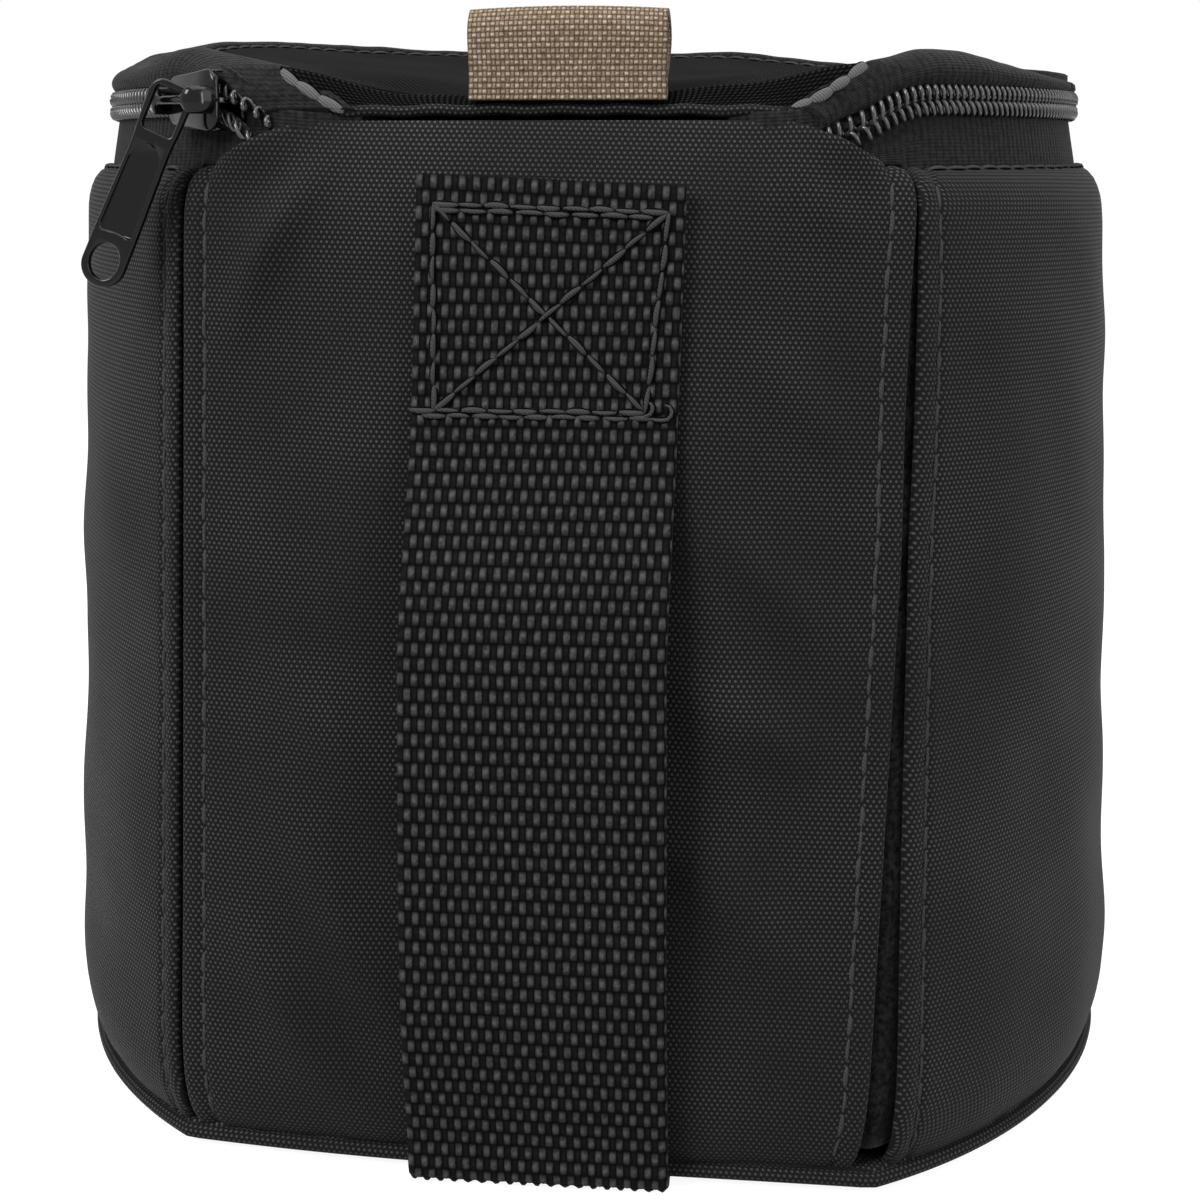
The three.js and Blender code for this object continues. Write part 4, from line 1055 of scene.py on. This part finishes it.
def hang_loop():
    """The tan hanging loop: webbing sewn down at its foot and folded over at its top."""
    side = [(0, -0.1), (0, 4), (0, 8.5), (0.35, 11), (1.7, 12.75), (3.7, 13.05), (6, 11.9), (7.2, 9.2),
            (6.6, 6.2), (4.6, 4), (2.6, 3), (2.35, 0.4)]
    path = curve_through(np.array(side) + [LOOP_FRONT, CHAIN], 110)
    y, z = path.T[..., None]
    across = np.linspace(-LOOP_HALF, LOOP_HALF, 43)
    sag = 0.45 * (across / LOOP_HALF) ** 2 * smooth(z, CHAIN + 4, CHAIN + 13)
    p = stacked(LOOP_MIDDLE + across + 0.1 * np.sin(z * 0.5) * np.sign(across), y, z - sag)
    uv = stacked(across + LOOP_HALF, distances(path)[:, None])
    cloth("hang_loop_webbing", p, 1.15, TAN, ("hanging_loop",), "lid", uv)


lid_top, lid_grid = lid_sheet("lid_cloth", 5.4, 0.0, 0.9, LID_NYLON_PAINTED_DARKER, ("lid_top_panel", "lid_foam"), 61, 0.4)
lid_sheet("lid_lining_cloth", 7.0, 4.9, 0.6, LINING, ("lid_lining",), 71, 0.3)
corner_lining()
lid_rim()
lid_threads(lid_grid)
lid_strip()
hinge()
hang_loop()


# Belt strap

STRAP_HALF = 19.0
STRAP_THICK = 1.7
STRAP_FRONT, STRAP_BACK = 97, 14
BOX = (-14.5, SHOULDER - 33.1, 18.3, SHOULDER - 4.4)
BOX_FOOT_RIGHT = 15.2


def strap_path():
    """The strap's outer face in (distance from the axis, z), from its top edge to its tail under the base."""
    sew, gap = SHOULDER - 34.4, 5.3
    bow = [(SHOULDER - 1, 0.3), (SHOULDER - 11, 0.3), (SHOULDER - 21, 0.3), (sew + 2, 0.35)]
    bow += [(sew * share, off) for share, off in (
        (0.94, 1.1), (0.88, 2.4), (0.76, 4.7), (0.66, gap), (0.5, gap + 0.1), (0.36, gap), (0.24, gap * 0.86),
        (0.13, gap * 0.45), (0.06, 0.7))]
    outer = [(lerp(BASE_REACH, TOP_REACH, z / SHOULDER) + off + STRAP_THICK, z) for z, off in bow]
    tail = [(77.0, 3.2), (76.3, 1.1), (74.6, 0.12), (72.0, 0.12), (69.4, 0.14)]
    return curve_through([*outer, *tail], 400)


def strap():
    """The belt strap, with a woven face and a plain back. It bows out from the body below its box."""
    path = strap_path()
    away, z = path.T[..., None]
    out_away, out_z = unit(stacked(-np.gradient(path[:, 1]), np.gradient(path[:, 0]))).T[..., None]
    along = distances(path)[:, None]
    u = np.concatenate([np.linspace(-STRAP_HALF, STRAP_HALF, STRAP_FRONT),
                        np.linspace(STRAP_HALF, -STRAP_HALF, STRAP_BACK)])
    is_front = np.arange(len(u)) < STRAP_FRONT
    a, b = np.pi * (u + STRAP_HALF) / WEAVE_PITCH[0], np.pi * along / WEAVE_PITCH[1]
    on_top = np.where(np.sin(a) * np.sin(b) > 0, 1.0, 0.12)
    relief = np.abs(np.sin(a)) ** 0.45 * np.abs(np.sin(b)) ** 0.8 * on_top
    sewn = smooth(z, SHOULDER - 38.4, SHOULDER - 32.4)
    face = STRAP_THICK / 2 * (0.55 + 0.45 * smooth(STRAP_HALF - np.abs(u), 0, 1.1)) - 0.15
    depth = np.where(is_front, face + relief * 0.5 * lerp(1.0, 0.85, sewn), -face) - STRAP_THICK / 2
    shift = np.interp(z, [0, 79, 114, 146], [-0.1, -0.3, 0.9, 1.9])
    waist = 1 - 0.012 * smooth(z, 40, 114)
    slope = u / STRAP_HALF * -0.9 * smooth(z, 124, 146)
    wave = 0.35 * noise(stacked(u, along, 0.0), 16, 101) * smooth(z, 4, 14) * (1 - sewn)
    z = np.maximum(z + out_z * depth + slope, 0.02)
    loops = stacked(u * waist + shift, -(away + out_away * depth + wave), z)[:, ::-1]
    uv = stacked(u + STRAP_HALF, along)[:, ::-1]
    make("strap_webbing", loops, tube_faces(*loops.shape[:2]), WEBBING, ("belt_strap",), uv=uv)


def strap_thread(x, z, *sizes):
    """A stitch line on the strap's sewn face."""
    y = -(lerp(BASE_REACH, TOP_REACH, z / SHOULDER) + 0.3 + STRAP_THICK + 0.12)
    return stacked(x, y, z), np.tile([0.0, -1.0, 0.02], (len(x), 1)), *sizes


def strap_seam(x0, z0, x1, z1):
    t = np.linspace(0, 1, 60)
    return strap_thread(lerp(x0, x1, t), lerp(z0, z1, t), STITCH_PITCH, 0.72, 0.32, 0.92, x0 + z1)


def loose_end(*places):
    """One length of thread that has come free of its row."""
    return strap_thread(*curve_through(places, 40).T, 50, 0.5, 0.5, 0.94, 1.0)


def strap_box():
    """Box and cross, with a second row along the top and the foot, and two loose ends at the foot."""
    left, low, right, high = BOX
    foot = BOX_FOOT_RIGHT
    stitches("stitch_strap_box", [
        strap_seam(left, high, right, high - 1.1), strap_seam(left, high - 0.78, right - 1.6, high - 1.8),
        strap_seam(left, low, left, high), strap_seam(foot, low, right, high - 1.1),
        strap_seam(left, high, foot, low), strap_seam(left, low, right, high - 1.1),
        strap_seam(-17.9, low, foot, low), strap_seam(-16.3, low - 0.76, foot + 1.4, low - 0.8),
        loose_end((15.6, low - 0.8), (17.0, low - 0.9), (18.3, low - 0.7), (18.8, low + 0.1),
                  (18.4, low + 1.0), (17.8, low + 1.1)),
        loose_end((14.9, low - 0.5), (15.8, low - 0.1), (16.1, low + 0.9), (15.7, low + 1.5)),
    ], STRAP_THREAD)


strap()
strap_box()


# Stage

WORLD_LIGHT, WORLD_SEEN = 0.34, 1.0
FLOOR_GLOW = 0.915
FLOOR_HALF = 4.0  # metres
FLOOR_DROP = 0.2
FOCAL_PIXELS, FRAME_PIXELS, SENSOR = 2015, 1200, 36.0


def stage():
    """A white surround and a pale floor, which both light the pouch less than the camera sees of them."""
    world = bpy.data.worlds.new("studio")
    bpy.context.scene.world = world
    world.use_nodes = True
    m = Nodes(world.node_tree)
    background = m.tree.nodes["Background"]
    background.inputs["Color"].default_value = (1, 1, 1, 1)
    m.link(m.ramp(m.wide_rays(), 0.0, 1.0, WORLD_LIGHT, WORLD_SEEN), background.inputs["Strength"])

    mesh = bpy.data.meshes.new("floor")
    corners = [(x * FLOOR_HALF, y * FLOOR_HALF, 0) for x, y in ((-1, -1), (1, -1), (1, 1), (-1, 1))]
    mesh.from_pydata(corners, [], [(0, 1, 2, 3)])
    floor = link("floor", mesh)
    floor.location.z = -FLOOR_DROP * MM
    m = Surface("floor_paper", (0.25, 0.25, 0.25), 0.95, 0.0)
    m.shader.inputs["Emission Color"].default_value = (1, 1, 1, 1)
    m.link(m.times(m.wide_rays(), FLOOR_GLOW), m.shader.inputs["Emission Strength"])
    mesh.materials.append(m.material)


def lamp(name, place, aim, size, power):
    light = bpy.data.lights.new(name, "AREA")
    light.shape = "RECTANGLE"
    light.size, light.size_y = size
    light.energy = power
    obj = link(name, light)
    obj.location = place
    obj.rotation_euler = (Vector(aim) - Vector(place)).to_track_quat("-Z", "Y").to_euler()


def camera():
    """The photograph's view: a low camera just right of the belt side, framed from above its axis."""
    azimuth, distance, height, pitch, pan = 6.2, 352.0, 150.0, 7.3, -0.16
    data = bpy.data.cameras.new("camera")
    data.sensor_width = SENSOR
    data.lens = SENSOR * FOCAL_PIXELS / FRAME_PIXELS
    data.shift_y = -0.16
    data.clip_start, data.clip_end = 0.01, 50
    obj = link("camera", data)
    obj.location = polar(distance, azimuth, height) * MM
    obj.rotation_euler = (math.radians(90 - pitch), 0, math.radians(azimuth + pan))
    bpy.context.scene.camera = obj


stage()
lamp("key", (-0.6, -0.75, 0.8), (0, 0, 0.08), (0.5, 0.5), 17)
lamp("top", (0.1, -0.1, 1.1), (0, 0, 0.1), (0.9, 0.9), 9)
lamp("side", (0.8, -0.2, 0.45), (0, 0, 0.08), (0.5, 0.8), 3)
lamp("strip", (0.7, -0.5, 0.28), (0, 0, 0.12), (0.07, 0.6), 2.2)
camera()
bpy.context.scene.view_settings.view_transform = "Standard"
